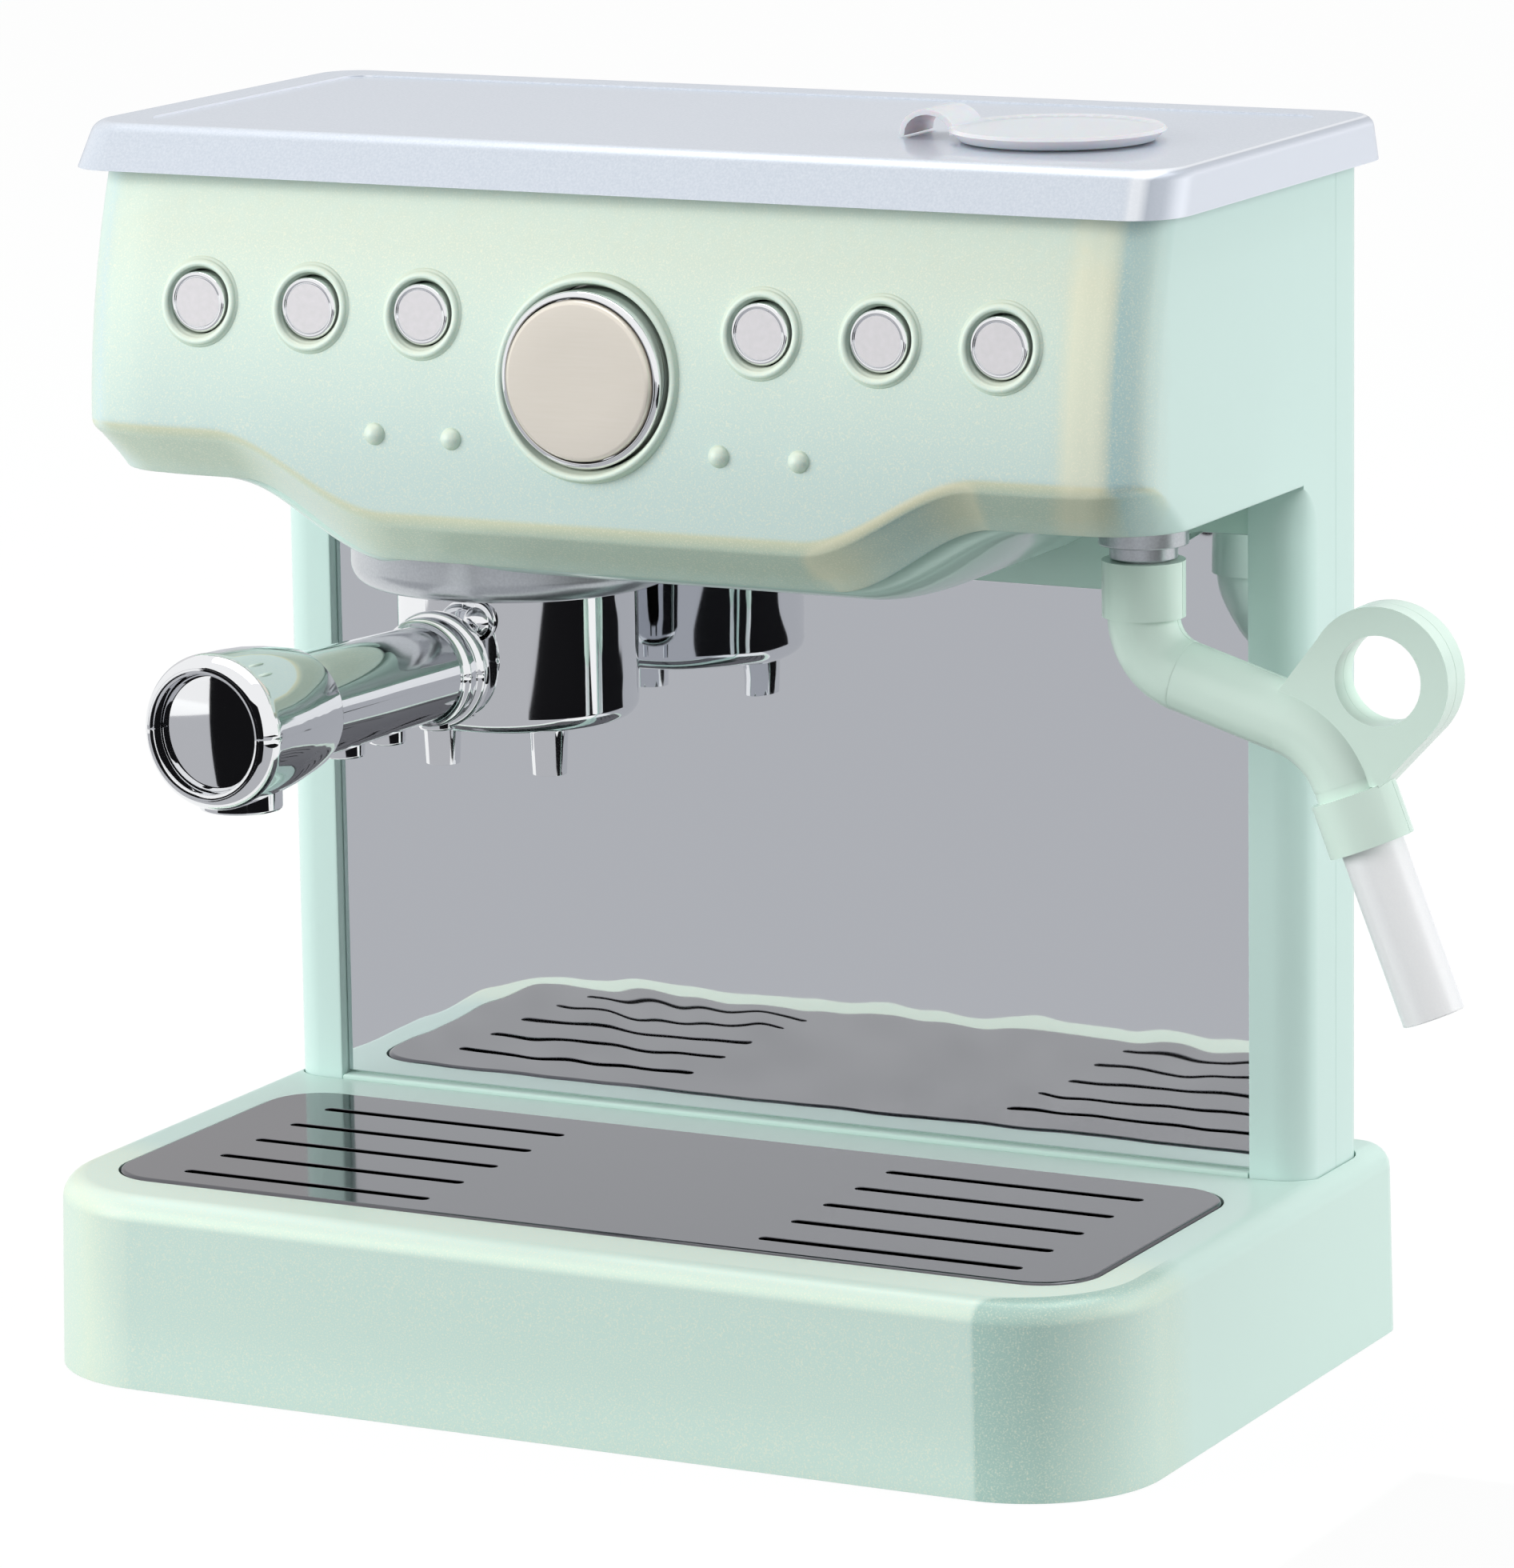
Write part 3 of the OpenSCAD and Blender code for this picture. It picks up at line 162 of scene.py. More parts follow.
# %% [markdown]
# ## Plain moulded ABS
# The back, the inner wall and the wand are bare mint ABS, injection moulded in a polished mould.
# A dielectric with a low roughness gives the soft gloss, and a very slight unevenness in the
# roughness keeps large flat walls from looking drawn.

# %% Mint ABS
def moulded_plastic(name, colour, roughness, scatter=0.0):
    finish, tree = new_finish(name)
    cloud = noise(tree, 0.02, 3)
    polish = add_node(tree, "ShaderNodeMapRange", inputs={"To Min": roughness - 0.03,
                      "To Max": roughness + 0.04}, links={"Value": cloud.outputs["Fac"]})
    ripple = bump(tree, noise(tree, 0.06, 1).outputs["Fac"], 0.04, 0.3)
    shader = add_node(tree, "ShaderNodeBsdfPrincipled", inputs={"Base Color": linear(colour),
                      "IOR": 1.53, "Subsurface Weight": scatter, "Subsurface Scale": 0.002},
                      links={"Roughness": polish.outputs[0], "Normal": ripple.outputs[0]})
    end_finish(tree, shader)
    return finish


mint_abs = moulded_plastic("mint_abs", "#CFE9E3", 0.28)
wand_abs = moulded_plastic("wand_mint_abs", "#DEF3E8", 0.2)
polished_abs = moulded_plastic("polished_mint_abs", "#CDE8DF", 0.12)
natural_abs = moulded_plastic("natural_abs", "#E9EBE9", 0.35)

# %% [markdown]
# ## Pearl lacquer
# The front of the body and of the base is sprayed with a pearl lacquer: fine mica flakes in a clear
# coat over mint plastic. Such flakes change their colour with the angle of the surface. Here two
# colour ramps over the surface's own direction give that shift, and with it they paint light and
# shade into the colour. Where the front leans back it gets a yellow-green painted sheen, the bevel
# below the crease gets a darker gold painted shade, and a corner gets a painted gold highlight
# stripe and then a darker blue-green painted shade. A fine noise breaks it into sparkle. The flakes
# are drawn about 0.3 mm wide, coarser than real ones, which the picture would not show. The spray
# fades out behind the front, over the depths in SPRAY_FADE, and its edge is a few millimetres
# ragged.

# %% Pearl lacquer
SPRAY_FADE = (-36.5, -26.5)
SPRAY_RAGGED = 4.0


def painted_light_by_normal(tree, part, tones):
    """Paints light and shade into a colour by which way the surface faces: a colour ramp over one
    part of the surface's normal, "X" or "Z". tones: rows of direction, colour and strength. A ramp
    runs from 0 to 1, so the -1 to 1 of the normal is moved there."""
    place = add_node(tree, "ShaderNodeTexCoord")
    facing = add_node(tree, "ShaderNodeSeparateXYZ", links={"Vector": place.outputs["Normal"]})
    half = add_node(tree, "ShaderNodeMapRange", inputs={"From Min": -1.0},
                    links={"Value": facing.outputs[part]})
    return ramp(tree, half.outputs[0], [((d + 1) / 2, linear(code, a)) for d, code, a in tones])


def lay_over(tree, under, tone):
    """Lays a ramp's colour over another one, as far as its strength goes."""
    return add_node(tree, "ShaderNodeMix", {"data_type": "RGBA"}, links={
        0: tone.outputs["Alpha"], 6: under, 7: tone.outputs["Color"]}).outputs[2]


def pearl_lacquer_painted_light(name, bare, tilt_light_tones, side_light_tones):
    """Both rows of tones paint light and shade: the tilt ones go by the up part of the surface's
    normal, and the side ones by its right part.
    """
    finish, tree = new_finish(name)
    tilt_tone = painted_light_by_normal(tree, "Z", tilt_light_tones)
    body = lay_over(tree, tilt_tone.outputs["Color"], painted_light_by_normal(tree, "X", side_light_tones))
    grain = noise(tree, 3.2, 1)
    flakes = ramp(tree, grain.outputs["Fac"], [(0.5, (0, 0, 0, 1)), (1.0, (1, 1, 1, 1))])
    sparkle = add_node(tree, "ShaderNodeMix", {"data_type": "RGBA"}, {7: linear("#F4F3DF")},
                       {0: flakes.outputs[0], 6: body})
    tilt = bump(tree, grain.outputs["Fac"], 0.02, 0.08)
    lacquer = add_node(tree, "ShaderNodeBsdfPrincipled", inputs={"Roughness": 0.38, "IOR": 1.5,
                       "Specular Tint": linear("#FFEDB8"), "Metallic": 0.18, "Coat Weight": 0.2,
                       "Coat Roughness": 0.2},
                       links={"Base Color": sparkle.outputs[2], "Normal": tilt.outputs[0]})
    plain = add_node(tree, "ShaderNodeBsdfPrincipled", inputs={"Base Color": linear(bare),
                     "Roughness": 0.3, "IOR": 1.53})
    place = add_node(tree, "ShaderNodeTexCoord")
    depth = add_node(tree, "ShaderNodeSeparateXYZ", links={"Vector": place.outputs["Object"]})
    jagged = add_node(tree, "ShaderNodeMath", {"operation": "MULTIPLY_ADD"}, {1: SPRAY_RAGGED * MM},
                      {0: noise(tree, 0.4, 3).outputs["Fac"], 2: depth.outputs["Y"]})
    share = add_node(tree, "ShaderNodeMapRange", inputs={"From Min": SPRAY_FADE[0] * MM,
                     "From Max": SPRAY_FADE[1] * MM}, links={"Value": jagged.outputs[0]})
    mixed = add_node(tree, "ShaderNodeMixShader", links={0: share.outputs[0],
                     1: lacquer.outputs[0], 2: plain.outputs[0]})
    end_finish(tree, mixed)
    return finish


# Painted light on the front: a darker gold painted shade on the bevel and underside, a yellow-green
# painted sheen where it leans back, and at the corners a painted gold highlight stripe and then a
# darker blue-green painted shade.
front_lacquer_and_light = pearl_lacquer_painted_light("pearl_lacquer_painted_light", "#CFE9E3", [
    (-0.9, "#B9D2C5", 1), (-0.6, "#C6D9CA", 1), (-0.4, "#CEDBC5", 1), (-0.2, "#D6DDC2", 1),
    (-0.06, "#CBE1DE", 1), (0.05, "#C9DFDB", 1), (0.2, "#CEE1D8", 1), (0.36, "#D6E0CF", 1),
    (0.9, "#CFE6DC", 1)], [
    (-0.9, "#CFE9E8", 0), (-0.4, "#CFE6EA", 0.6), (-0.02, "#DEECD8", 0), (0.01, "#F3EDCB", 0),
    (0.06, "#F6F2D4", 0.55), (0.2, "#EDE7C6", 0.4), (0.42, "#A9CED2", 0.8), (0.72, "#B4D6D8", 0.7),
    (0.97, "#CFE9E3", 0)])
# Painted light on the rings and dots: lighter above and on the left, and darker with painted shade
# below and on the right.
raised_lacquer_and_light = pearl_lacquer_painted_light("raised_pearl_lacquer", "#CFE9E3", [
    (-0.9, "#CBE2D2", 1), (0.0, "#DAEDE4", 1), (0.9, "#E7F2E2", 1)], [
    (-0.9, "#E8F2E6", 0.6), (0.0, "#DAEDE4", 0), (0.9, "#CBE3DA", 0.6)])
# Painted light on the base: lighter on top, and a darker blue-green painted shade on the round
# corner that faces the camera.
base_lacquer_and_light = pearl_lacquer_painted_light("base_pearl_lacquer", "#CFE8E0", [
    (-0.9, "#CBE5DE", 1), (0.0, "#C9E3DC", 1), (0.4, "#D5EADC", 1), (0.9, "#E0F5EC", 1)], [
    (-0.9, "#CBE5DE", 0), (-0.4, "#DFEBD6", 0.5), (-0.03, "#DAEADD", 0.3), (0.02, "#C9E3DC", 0),
    (0.06, "#A4C8C1", 0.85), (0.5, "#A4C8C1", 0.75), (0.9, "#BFDDD4", 0.2), (0.99, "#CFE8E0", 0)])

# %% [markdown]
# ## Lid lacquer
# The lid is sprayed in a pale silver with a hint of blue. Its flakes are finer, so the sheen is
# even and satin. A ramp over the surface's direction paints light into its round corners, a
# highlight and then a darker shade, and paints a highlight on its side. The group ring and the
# wand's nozzle have the same kind of finish, without the painted light.

# %% Silver lacquer
def silver_lacquer(name, colour, bright, metallic, roughness, side_light_tones=()):
    finish, tree = new_finish(name)
    grain = noise(tree, 2.2, 2)
    tone = ramp(tree, grain.outputs["Fac"],
                [(0.35, linear(colour)), (0.85, linear(bright))]).outputs[0]
    # The side tones paint light and shade by which way the surface faces.
    if side_light_tones:
        tone = lay_over(tree, tone, painted_light_by_normal(tree, "X", side_light_tones))
    tilt = bump(tree, grain.outputs["Fac"], 0.02, 0.12)
    shader = add_node(tree, "ShaderNodeBsdfPrincipled", inputs={"Metallic": metallic,
                      "Roughness": roughness, "Coat Weight": 0.45, "Coat Roughness": 0.07},
                      links={"Base Color": tone, "Normal": tilt.outputs[0]})
    end_finish(tree, shader)
    return finish


# The lid's side tones: a painted highlight and then a darker painted shade on the round corners,
# and a painted highlight on the side.
lid_lacquer_and_light = silver_lacquer("silver_lacquer", "#CAD2DD", "#D9DFE8", 0.4, 0.34, [
    (0.02, "#CAD2DD", 0), (0.2, "#F2F4F8", 0.6), (0.34, "#F2F4F8", 0.6), (0.5, "#ABB2BE", 0.8),
    (0.7, "#B7BECA", 0.7), (0.93, "#EAEFF9", 1), (1.0, "#EAEFF9", 1)])
satin_plating = silver_lacquer("satin_plating", "#B9BDC2", "#C8CCD0", 0.9, 0.3)
nozzle_lacquer = silver_lacquer("pearl_white_lacquer", "#F9FAFC", "#FCFDFE", 0.12, 0.28)

# %% [markdown]
# ## Bright plating
# Buttons, basket and handle are vacuum plated: a thin bright metal on moulded plastic. It mirrors
# the room, with the slight waviness of the moulding below.

# %% Plating, mirror sheet and steel
def plating(name, colour, roughness, wave_mm=0.02, per_mm=0.05):
    finish, tree = new_finish(name)
    wave = bump(tree, noise(tree, per_mm, 1).outputs["Fac"], wave_mm, 0.5)
    shader = add_node(tree, "ShaderNodeBsdfPrincipled", inputs={"Base Color": linear(colour),
                      "Metallic": 1.0, "Roughness": roughness}, links={"Normal": wave.outputs[0]})
    end_finish(tree, shader)
    return finish


bright_plating = plating("bright_plating", "#EDEEF0", 0.04)
dark_plating = plating("dark_plating", "#68686C", 0.08, 0.02, 0.03)
mirror_film = plating("mirror_film", "#ECEEF1", 0.02, 0.45, 0.05)
zinc_steel = plating("zinc_steel", "#B6B8BA", 0.3, 0.01, 0.5)

# %% [markdown]
# ## Button caps
# The flat faces of the caps are satin: the plating is laid over a finely blasted mould face. The
# large cap has a warmer tone, and its face is brushed from side to side with lines of about half a
# millimetre.

# %% Satin caps
def satin_cap(name, colour, bright, stretch):
    finish, tree = new_finish(name)
    place = add_node(tree, "ShaderNodeTexCoord")
    lay = add_node(tree, "ShaderNodeMapping", inputs={"Scale": stretch},
                   links={"Vector": place.outputs["Object"]})
    lines = add_node(tree, "ShaderNodeTexNoise", inputs={"Scale": 900.0, "Detail": 3.0},
                     links={"Vector": lay.outputs[0]})
    tone = ramp(tree, lines.outputs["Fac"], [(0.3, linear(colour)), (0.7, linear(bright))])
    tilt = bump(tree, lines.outputs["Fac"], 0.01, 0.1)
    shader = add_node(tree, "ShaderNodeBsdfPrincipled", inputs={"Metallic": 0.75,
                      "Roughness": 0.38},
                      links={"Base Color": tone.outputs[0], "Normal": tilt.outputs[0]})
    end_finish(tree, shader)
    return finish


small_cap_face = satin_cap("small_cap_satin", "#EEECEE", "#F4F1F4", (1, 1, 1))
warm_cap = satin_cap("large_cap_brushed", "#EDE6DA", "#EFE8DD", (0.12, 1, 2.2))

# %% [markdown]
# ## Silicone
# The plug and its strap are soft silicone. Light goes a little way in, so it gets some
# subsurface scatter and a satin skin.

# %% Silicone and clear plastic
silicone = moulded_plastic("silicone", "#D6DBE0", 0.26, 0.5)
milky_plastic = moulded_plastic("milky_polypropylene", "#E4E9EA", 0.3, 0.3)

finish_of_slot = {
    "mint_paint": front_lacquer_and_light, "mint_plastic": mint_abs, "wand_mint": wand_abs,
    "lid_silver": lid_lacquer_and_light, "silicone": silicone, "clear_plastic": milky_plastic,
    "white_plastic": natural_abs, "plated": bright_plating, "dark_chrome": dark_plating,
    "cap_silver": warm_cap, "satin_silver": satin_plating, "pearl_white": nozzle_lacquer,
    "mirror": mirror_film, "steel": zinc_steel}
print("finishes:", len(bpy.data.materials))

# %% [markdown]
# ## Helpers for modelling
# Every new piece starts as a primitive at its size and place. Its edges and faces are then picked
# by where they lie, and shaped with the tools that Blender's edit mode has. All lengths are in
# millimetres, and depths are measured from the front edge of the base.

# %% Pick, bevel and cut
def only(piece):
    bpy.ops.object.select_all(action="DESELECT")
    piece.select_set(True)
    bpy.context.view_layer.objects.active = piece


def at(x, y, z):
    return Vector((x * MM, FRONT + y * MM, z * MM))


def in_mm(point):
    return point.x / MM, (point.y - FRONT) / MM, point.z / MM


def block(name, low, high):
    bpy.ops.object.select_all(action="DESELECT")
    a, b = at(*low), at(*high)
    bpy.ops.mesh.primitive_cube_add(size=1, location=(a + b) / 2, scale=b - a)
    bpy.ops.object.transform_apply(location=True, rotation=True, scale=True)
    bpy.context.object.name = name
    return bpy.context.object


def rod(centre, radius, axis):
    bpy.ops.object.select_all(action="DESELECT")
    lean = math.pi / 2 if axis == "Y" else 0
    bpy.ops.mesh.primitive_cylinder_add(vertices=96, radius=radius * MM, depth=30 * MM,
                                        location=at(*centre), rotation=(lean, 0, 0))
    bpy.ops.object.transform_apply(location=True, rotation=True, scale=True)
    return bpy.context.object


def pick(piece, kind, keep):
    only(piece)
    bpy.ops.object.mode_set(mode="EDIT")
    bpy.ops.mesh.select_mode(type=kind)
    bpy.ops.mesh.select_all(action="DESELECT")
    mesh = bmesh.from_edit_mesh(piece.data)
    parts = {"VERT": mesh.verts, "EDGE": mesh.edges, "FACE": mesh.faces}[kind]
    chosen = [p for p in parts if keep(p)]
    for part in chosen:
        part.select_set(True)
    mesh.select_flush_mode()
    bmesh.update_edit_mesh(piece.data)
    return len(chosen)


def round_edges(piece, keep, radius, segments):
    count = pick(piece, "EDGE", keep)
    bpy.ops.mesh.bevel(offset=radius * MM, segments=segments, profile=0.5, affect="EDGES")
    bpy.ops.object.mode_set(mode="OBJECT")
    return count


def ends(edge):
    return [in_mm(v.co) for v in edge.verts]


def upright(edge, near_y=None):
    a, b = ends(edge)
    return abs(a[2] - b[2]) > 1 and abs(a[0] - b[0]) < 3 and abs(a[1] - b[1]) < 6 and (
        near_y is None or abs(a[1] - near_y) < 8)


def at_height(z):
    return lambda edge: all(abs(p[2] - z) < 0.01 for p in ends(edge))


def cut(piece, cutter):
    only(piece)
    boolean = piece.modifiers.new("cut", "BOOLEAN")
    boolean.operation = "DIFFERENCE"
    boolean.solver = "EXACT"
    boolean.object = cutter
    bpy.ops.object.modifier_apply(modifier="cut")
    bpy.data.objects.remove(cutter, do_unlink=True)


def cut_block(piece, low, high, radius):
    cutter = block("cutter", low, high)
    round_edges(cutter, upright, radius, 12)
    cut(piece, cutter)


def narrow_top(piece, share, centre):
    """Makes the top face smaller towards a point, so that the sides lean in."""
    pick(piece, "FACE", lambda f: f.normal.z > 0.9)
    bpy.ops.transform.resize(value=(*share, 1), center_override=at(*centre))
    bpy.ops.object.mode_set(mode="OBJECT")

# %% [markdown]
# A turned piece is a row of points on its outline, spun once round its axis. A bent grid is a flat
# grid whose points are each moved to a place worked out in code, which suits a curved sheet. Such a
# sheet is open, and gets its wall last.

# %% Turned pieces and bent grids
SAME_POINT = 2e-6
WALL = 2.0


def turned(name, profile, centre, axis, steps=96):
    """profile: (distance along the axis, radius) pairs in mm, open, with both ends on the axis
    or closed by its last point. axis is "Y" or "Z"."""
    bpy.ops.object.select_all(action="DESELECT")
    bpy.ops.mesh.primitive_circle_add(vertices=len(profile), radius=MM, fill_type="NOTHING")
    piece = bpy.context.object
    piece.name = name
    way = Vector((0, 1, 0)) if axis == "Y" else Vector((0, 0, 1))
    for vertex, (along, radius) in zip(piece.data.vertices, profile):
        vertex.co = at(*centre) + way * along * MM + Vector((radius * MM, 0, 0))
    if profile[0][1] < 0.001 and profile[-1][1] < 0.001:
        pick(piece, "EDGE", lambda e: {v.index for v in e.verts} == {0, len(profile) - 1})
        bpy.ops.mesh.delete(type="EDGE")
    else:
        only(piece)
        bpy.ops.object.mode_set(mode="EDIT")
    bpy.ops.mesh.select_all(action="SELECT")
    bpy.ops.mesh.spin(steps=steps, angle=2 * math.pi, center=at(*centre), axis=way)
    bpy.ops.mesh.select_all(action="SELECT")
    bpy.ops.mesh.remove_doubles(threshold=SAME_POINT)
    bpy.ops.mesh.normals_make_consistent(inside=False)
    bpy.ops.object.mode_set(mode="OBJECT")
    return piece


def bent_grid(name, columns, rows, place, close=False):
    """place(i, j) gives the point in mm of column i and row j. close joins the first and last
    columns and fills the two ends."""
    bpy.ops.object.select_all(action="DESELECT")
    bpy.ops.mesh.primitive_grid_add(x_subdivisions=columns - 1, y_subdivisions=rows - 1, size=1)
    piece = bpy.context.object
    piece.name = name
    assert len(piece.data.vertices) == columns * rows
    for vertex in piece.data.vertices:
        i = round((vertex.co.x + 0.5) * (columns - 1))
        j = round((vertex.co.y + 0.5) * (rows - 1))
        vertex.co = at(*place(i, j))
    only(piece)
    bpy.ops.object.mode_set(mode="EDIT")
    bpy.ops.mesh.select_all(action="SELECT")
    if close:
        bpy.ops.mesh.remove_doubles(threshold=SAME_POINT)
        bpy.ops.mesh.fill_holes(sides=0)
    bpy.ops.mesh.select_all(action="SELECT")
    bpy.ops.mesh.normals_make_consistent(inside=False)
    bpy.ops.object.mode_set(mode="OBJECT")
    return piece


def arc(along, radius, r, start, stop, steps=5):
    """Points of a round edge, for a profile: its centre, radius r and two angles in degrees."""
    angles = [math.radians(start + (stop - start) * i / steps) for i in range(steps + 1)]
    return [(along + r * math.cos(a), radius + r * math.sin(a)) for a in angles]


def thicken(sheet, looks_inwards):
    """An open sheet is turned by hand if its outer face looks inwards. Then it gets its wall."""
    if looks_inwards:
        pick(sheet, "FACE", lambda f: True)
        bpy.ops.mesh.flip_normals()
        bpy.ops.object.mode_set(mode="OBJECT")
    thick = sheet.modifiers.new("thickness", "SOLIDIFY")
    thick.thickness = WALL * MM
    thick.offset = -1
    bpy.ops.object.modifier_apply(modifier="thickness")

# %% [markdown]
# A moulded edge is never sharp, so each piece gets a small bevel where its faces meet. The normals
# are then weighted by area, which keeps big faces flat and puts all the bending into the bevels.

# %% Finish a piece
def soften(piece, edge_mm, steps=2, angle=32):
    only(piece)
    if edge_mm:
        bevel = piece.modifiers.new("edge", "BEVEL")
        bevel.width = edge_mm * MM
        bevel.segments = steps
        bevel.limit_method = "ANGLE"
        bevel.angle_limit = math.radians(angle)
        bpy.ops.object.modifier_apply(modifier="edge")
    bpy.ops.object.shade_smooth_by_angle(angle=math.radians(angle + 8))
    weighted = piece.modifiers.new("weighted", "WEIGHTED_NORMAL")
    weighted.keep_sharp = True
    bpy.ops.object.modifier_apply(modifier="weighted")


def dress(piece, node, finish=None):
    if finish or not piece.data.materials:
        piece.data.materials.clear()
        piece.data.materials.append(finish or finish_of_slot[slot_of_node[node]])
    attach(piece, body_of_node[node])
    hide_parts(node)


def join(pieces):
    only(pieces[0])
    for piece in pieces[1:]:
        piece.select_set(True)
    bpy.ops.object.join()
    return pieces[0]

# %% [markdown]
# ## Head
# The head is one moulded shell with a gently bowed front. A crease runs across it, low in the
# middle, and a narrow bevel leads from there to the lip. Its form follows curves that no single
# primitive has, so a grid is bent over them: columns run round the front from one side to the
# other, and rows run from the top, over the crease, to the lip.

# %% Curves of the head
HALF = 107.5
CORNER = 9.0
LIP_CORNER = 5.0
HEAD_TOP = 222.0
FRONT_Y = 25.0
FRONT_Z = 172
BOW = 278
SIDE_CREASE = 174.8
CREASE_DROP = 13.6
CREASE_ROUND = 2.2
SIDE_LIP = 165.6
LIP_DROP = 13.0
LIP_Y = 34.0
BEND_START = 91
BEND_DEPTH = 0.5
PILLAR_Y = 98.7
FACE_ROWS, ROUND_ROWS, BEVEL_ROWS = 25, 7, 6


def smooth(t):
    t = min(1.0, max(0.0, t))
    return t * t * (3 - 2 * t)


def bulge(x, inner, outer):
    """1 in the middle of the head, down to 0 at the sides, along an S between the two places."""
    return 1 - smooth((abs(x) - inner) / (outer - inner))


def lip_height(x):
    return SIDE_LIP - LIP_DROP * bulge(x, 48, 80)


def front_depth(z):
    return FRONT_Y + (z - FRONT_Z) ** 2 / BOW


def head_rows(x):
    """Depth and height of each row at a place across the head: those of the face down to the
    crease's round, those of the round, and those of the bevel on to the lip."""
    crease = SIDE_CREASE - CREASE_DROP * bulge(x, 42, 78)
    lip = Vector((LIP_Y, lip_height(x)))
    start = crease + CREASE_ROUND
    heights = [HEAD_TOP + (start - HEAD_TOP) * i / (FACE_ROWS - 1) for i in range(FACE_ROWS)]
    rows = [Vector((front_depth(z), z)) for z in heights]
    corner = Vector((front_depth(crease), crease))
    end = corner + (lip - corner).normalized() * CREASE_ROUND
    rows += [rows[-1] * (1 - t) ** 2 + corner * 2 * t * (1 - t) + end * t * t
             for t in [k / ROUND_ROWS for k in range(1, ROUND_ROWS + 1)]]
    rows += [end + (lip - end) * k / BEVEL_ROWS for k in range(1, BEVEL_ROWS + 1)]
    return rows


side_steps, corner_steps, front_steps = 8, 10, 150
plan = [("side", -1, k / side_steps) for k in range(side_steps)]
plan += [("corner", -1, 90 - 90 * k / corner_steps) for k in range(corner_steps)]
plan += [("front", 0, (CORNER - HALF) + 2 * (HALF - CORNER) * k / front_steps)
         for k in range(front_steps + 1)]
plan += [("corner", 1, 90 * (k + 1) / corner_steps) for k in range(corner_steps)]
plan += [("side", 1, 1 - (k + 1) / side_steps) for k in range(side_steps)]
rows_at = [head_rows(value if kind == "front" else HALF) for kind, side, value in plan]


def head_point(i, j):
    """Near its ends the front bends back a little, and the corner widens towards the lip."""
    kind, side, value = plan[i]
    row = len(rows_at[i]) - 1 - j
    deep, z = rows_at[i][row]
    past_face = (row - FACE_ROWS - 1) / (ROUND_ROWS + BEVEL_ROWS - 2)
    corner = CORNER + LIP_CORNER * smooth(past_face)
    if kind == "front":
        x = value * (HALF - corner) / (HALF - CORNER)
        past = max(0, (abs(value) - BEND_START) / (HALF - CORNER - BEND_START))
        return x, deep + BEND_DEPTH * past ** 2, z
    deep += BEND_DEPTH
    if kind == "corner":
        turn_angle = math.radians(value)
        return (side * (HALF - corner + corner * math.sin(turn_angle)),
                deep + corner * (1 - math.cos(turn_angle)), z)
    return side * HALF, PILLAR_Y + (deep + corner - PILLAR_Y) * value, z


head = bent_grid("head_sheet", len(plan), len(rows_at[0]), head_point)
front_face = min(head.data.polygons, key=lambda p: abs(p.center.x) + abs(p.center.z - 0.2))
thicken(head, looks_inwards=front_face.normal.y > 0)
print("head sheet:", len(head.data.polygons), "faces")

# %% [markdown]
# The sheet's rim along the lip is rounded, and seven holes are cut for the buttons.

# %% Lip and button holes
BUTTON_X = [-80.8, -57.5, -34.2, 34.2, 57.5, 80.8]
BUTTON_Z = 199.2
DIAL_Z = 189.6
ABOVE_LIP = 172


def on_lip(edge):
    """Picks the lip's sharp edges: those lower than ABOVE_LIP, except the ones at the pillars."""
    a, b = ends(edge)
    face_angle = edge.calc_face_angle(0) if len(edge.link_faces) == 2 else 0
    return face_angle > math.radians(50) and max(a[2], b[2]) < ABOVE_LIP and (
        min(a[1], b[1]) < PILLAR_Y - 1)


print("lip edges:", round_edges(head, on_lip, 0.5, 3))
hole_cutters = [rod((x, 28, BUTTON_Z), 6.5, "Y") for x in BUTTON_X]
hole_cutters.append(rod((0, 28, DIAL_Z), 16.6, "Y"))
cut(head, join(hole_cutters))

# %% [markdown]
# ## Rings, dots and pillars
# A low ring stands round each button hole and leans back with the front, and four small dots sit
# below. The two pillars beside the mirror have a wide round corner, which narrows along the arc
# that leads into the head's side.
# A bent grid makes that too: its rows go up the pillar and its corner radius shrinks with height.

# %% Rings and dots
small_ring = [(31, 5.9), (28.1, 5.9), (27.75, 6.15)] + arc(27.35, 7.05, 0.7, 270, 90, 10)
small_ring += [(27.5, 7.95), (27.75, 8.2), (28.3, 8.35), (31, 8.4)]
rings = [turned("ring", small_ring, (x, 0, BUTTON_Z), "Y") for x in BUTTON_X]
dial_ring = [(31, 16.4), (26.9, 16.4), (26.5, 16.6)] + arc(25.7, 17.55, 0.7, 270, 90, 10)
dial_ring += [(25.9, 18.4), (26.3, 18.6), (27.0, 18.7), (31, 18.8)]
rings.append(turned("dial_ring", dial_ring, (0, 0, DIAL_Z), "Y", 144))
for low_ring, middle in zip(rings, [BUTTON_Z] * len(BUTTON_X) + [DIAL_Z]):
    slope = (middle - FRONT_Z) / (BOW / 2)
    for vertex in low_ring.data.vertices:
        vertex.co.y += (vertex.co.z - middle * MM) * slope
dot = [(23.4, 0), (23.44, 0.4), (23.65, 0.95), (24.0, 1.45), (24.45, 1.8), (25.0, 2.05)]
dot += [(26.5, 2.2), (26.5, 0)]
DOT_Z = 177.3
dots = [turned("dot", dot, (x, 0, DOT_Z), "Y", 32) for x in (-43.2, -27.4, 26.8, 42.6)]

# %% Pillars
PILLAR_CORNER = 6.4
PILLAR_X = 96.3
PILLAR_INSIDE = 105.3
WALL_Y = 103.0
SEAM_Y = 113.5
FOOT_Z = 34.1
GUSSET = 9.0


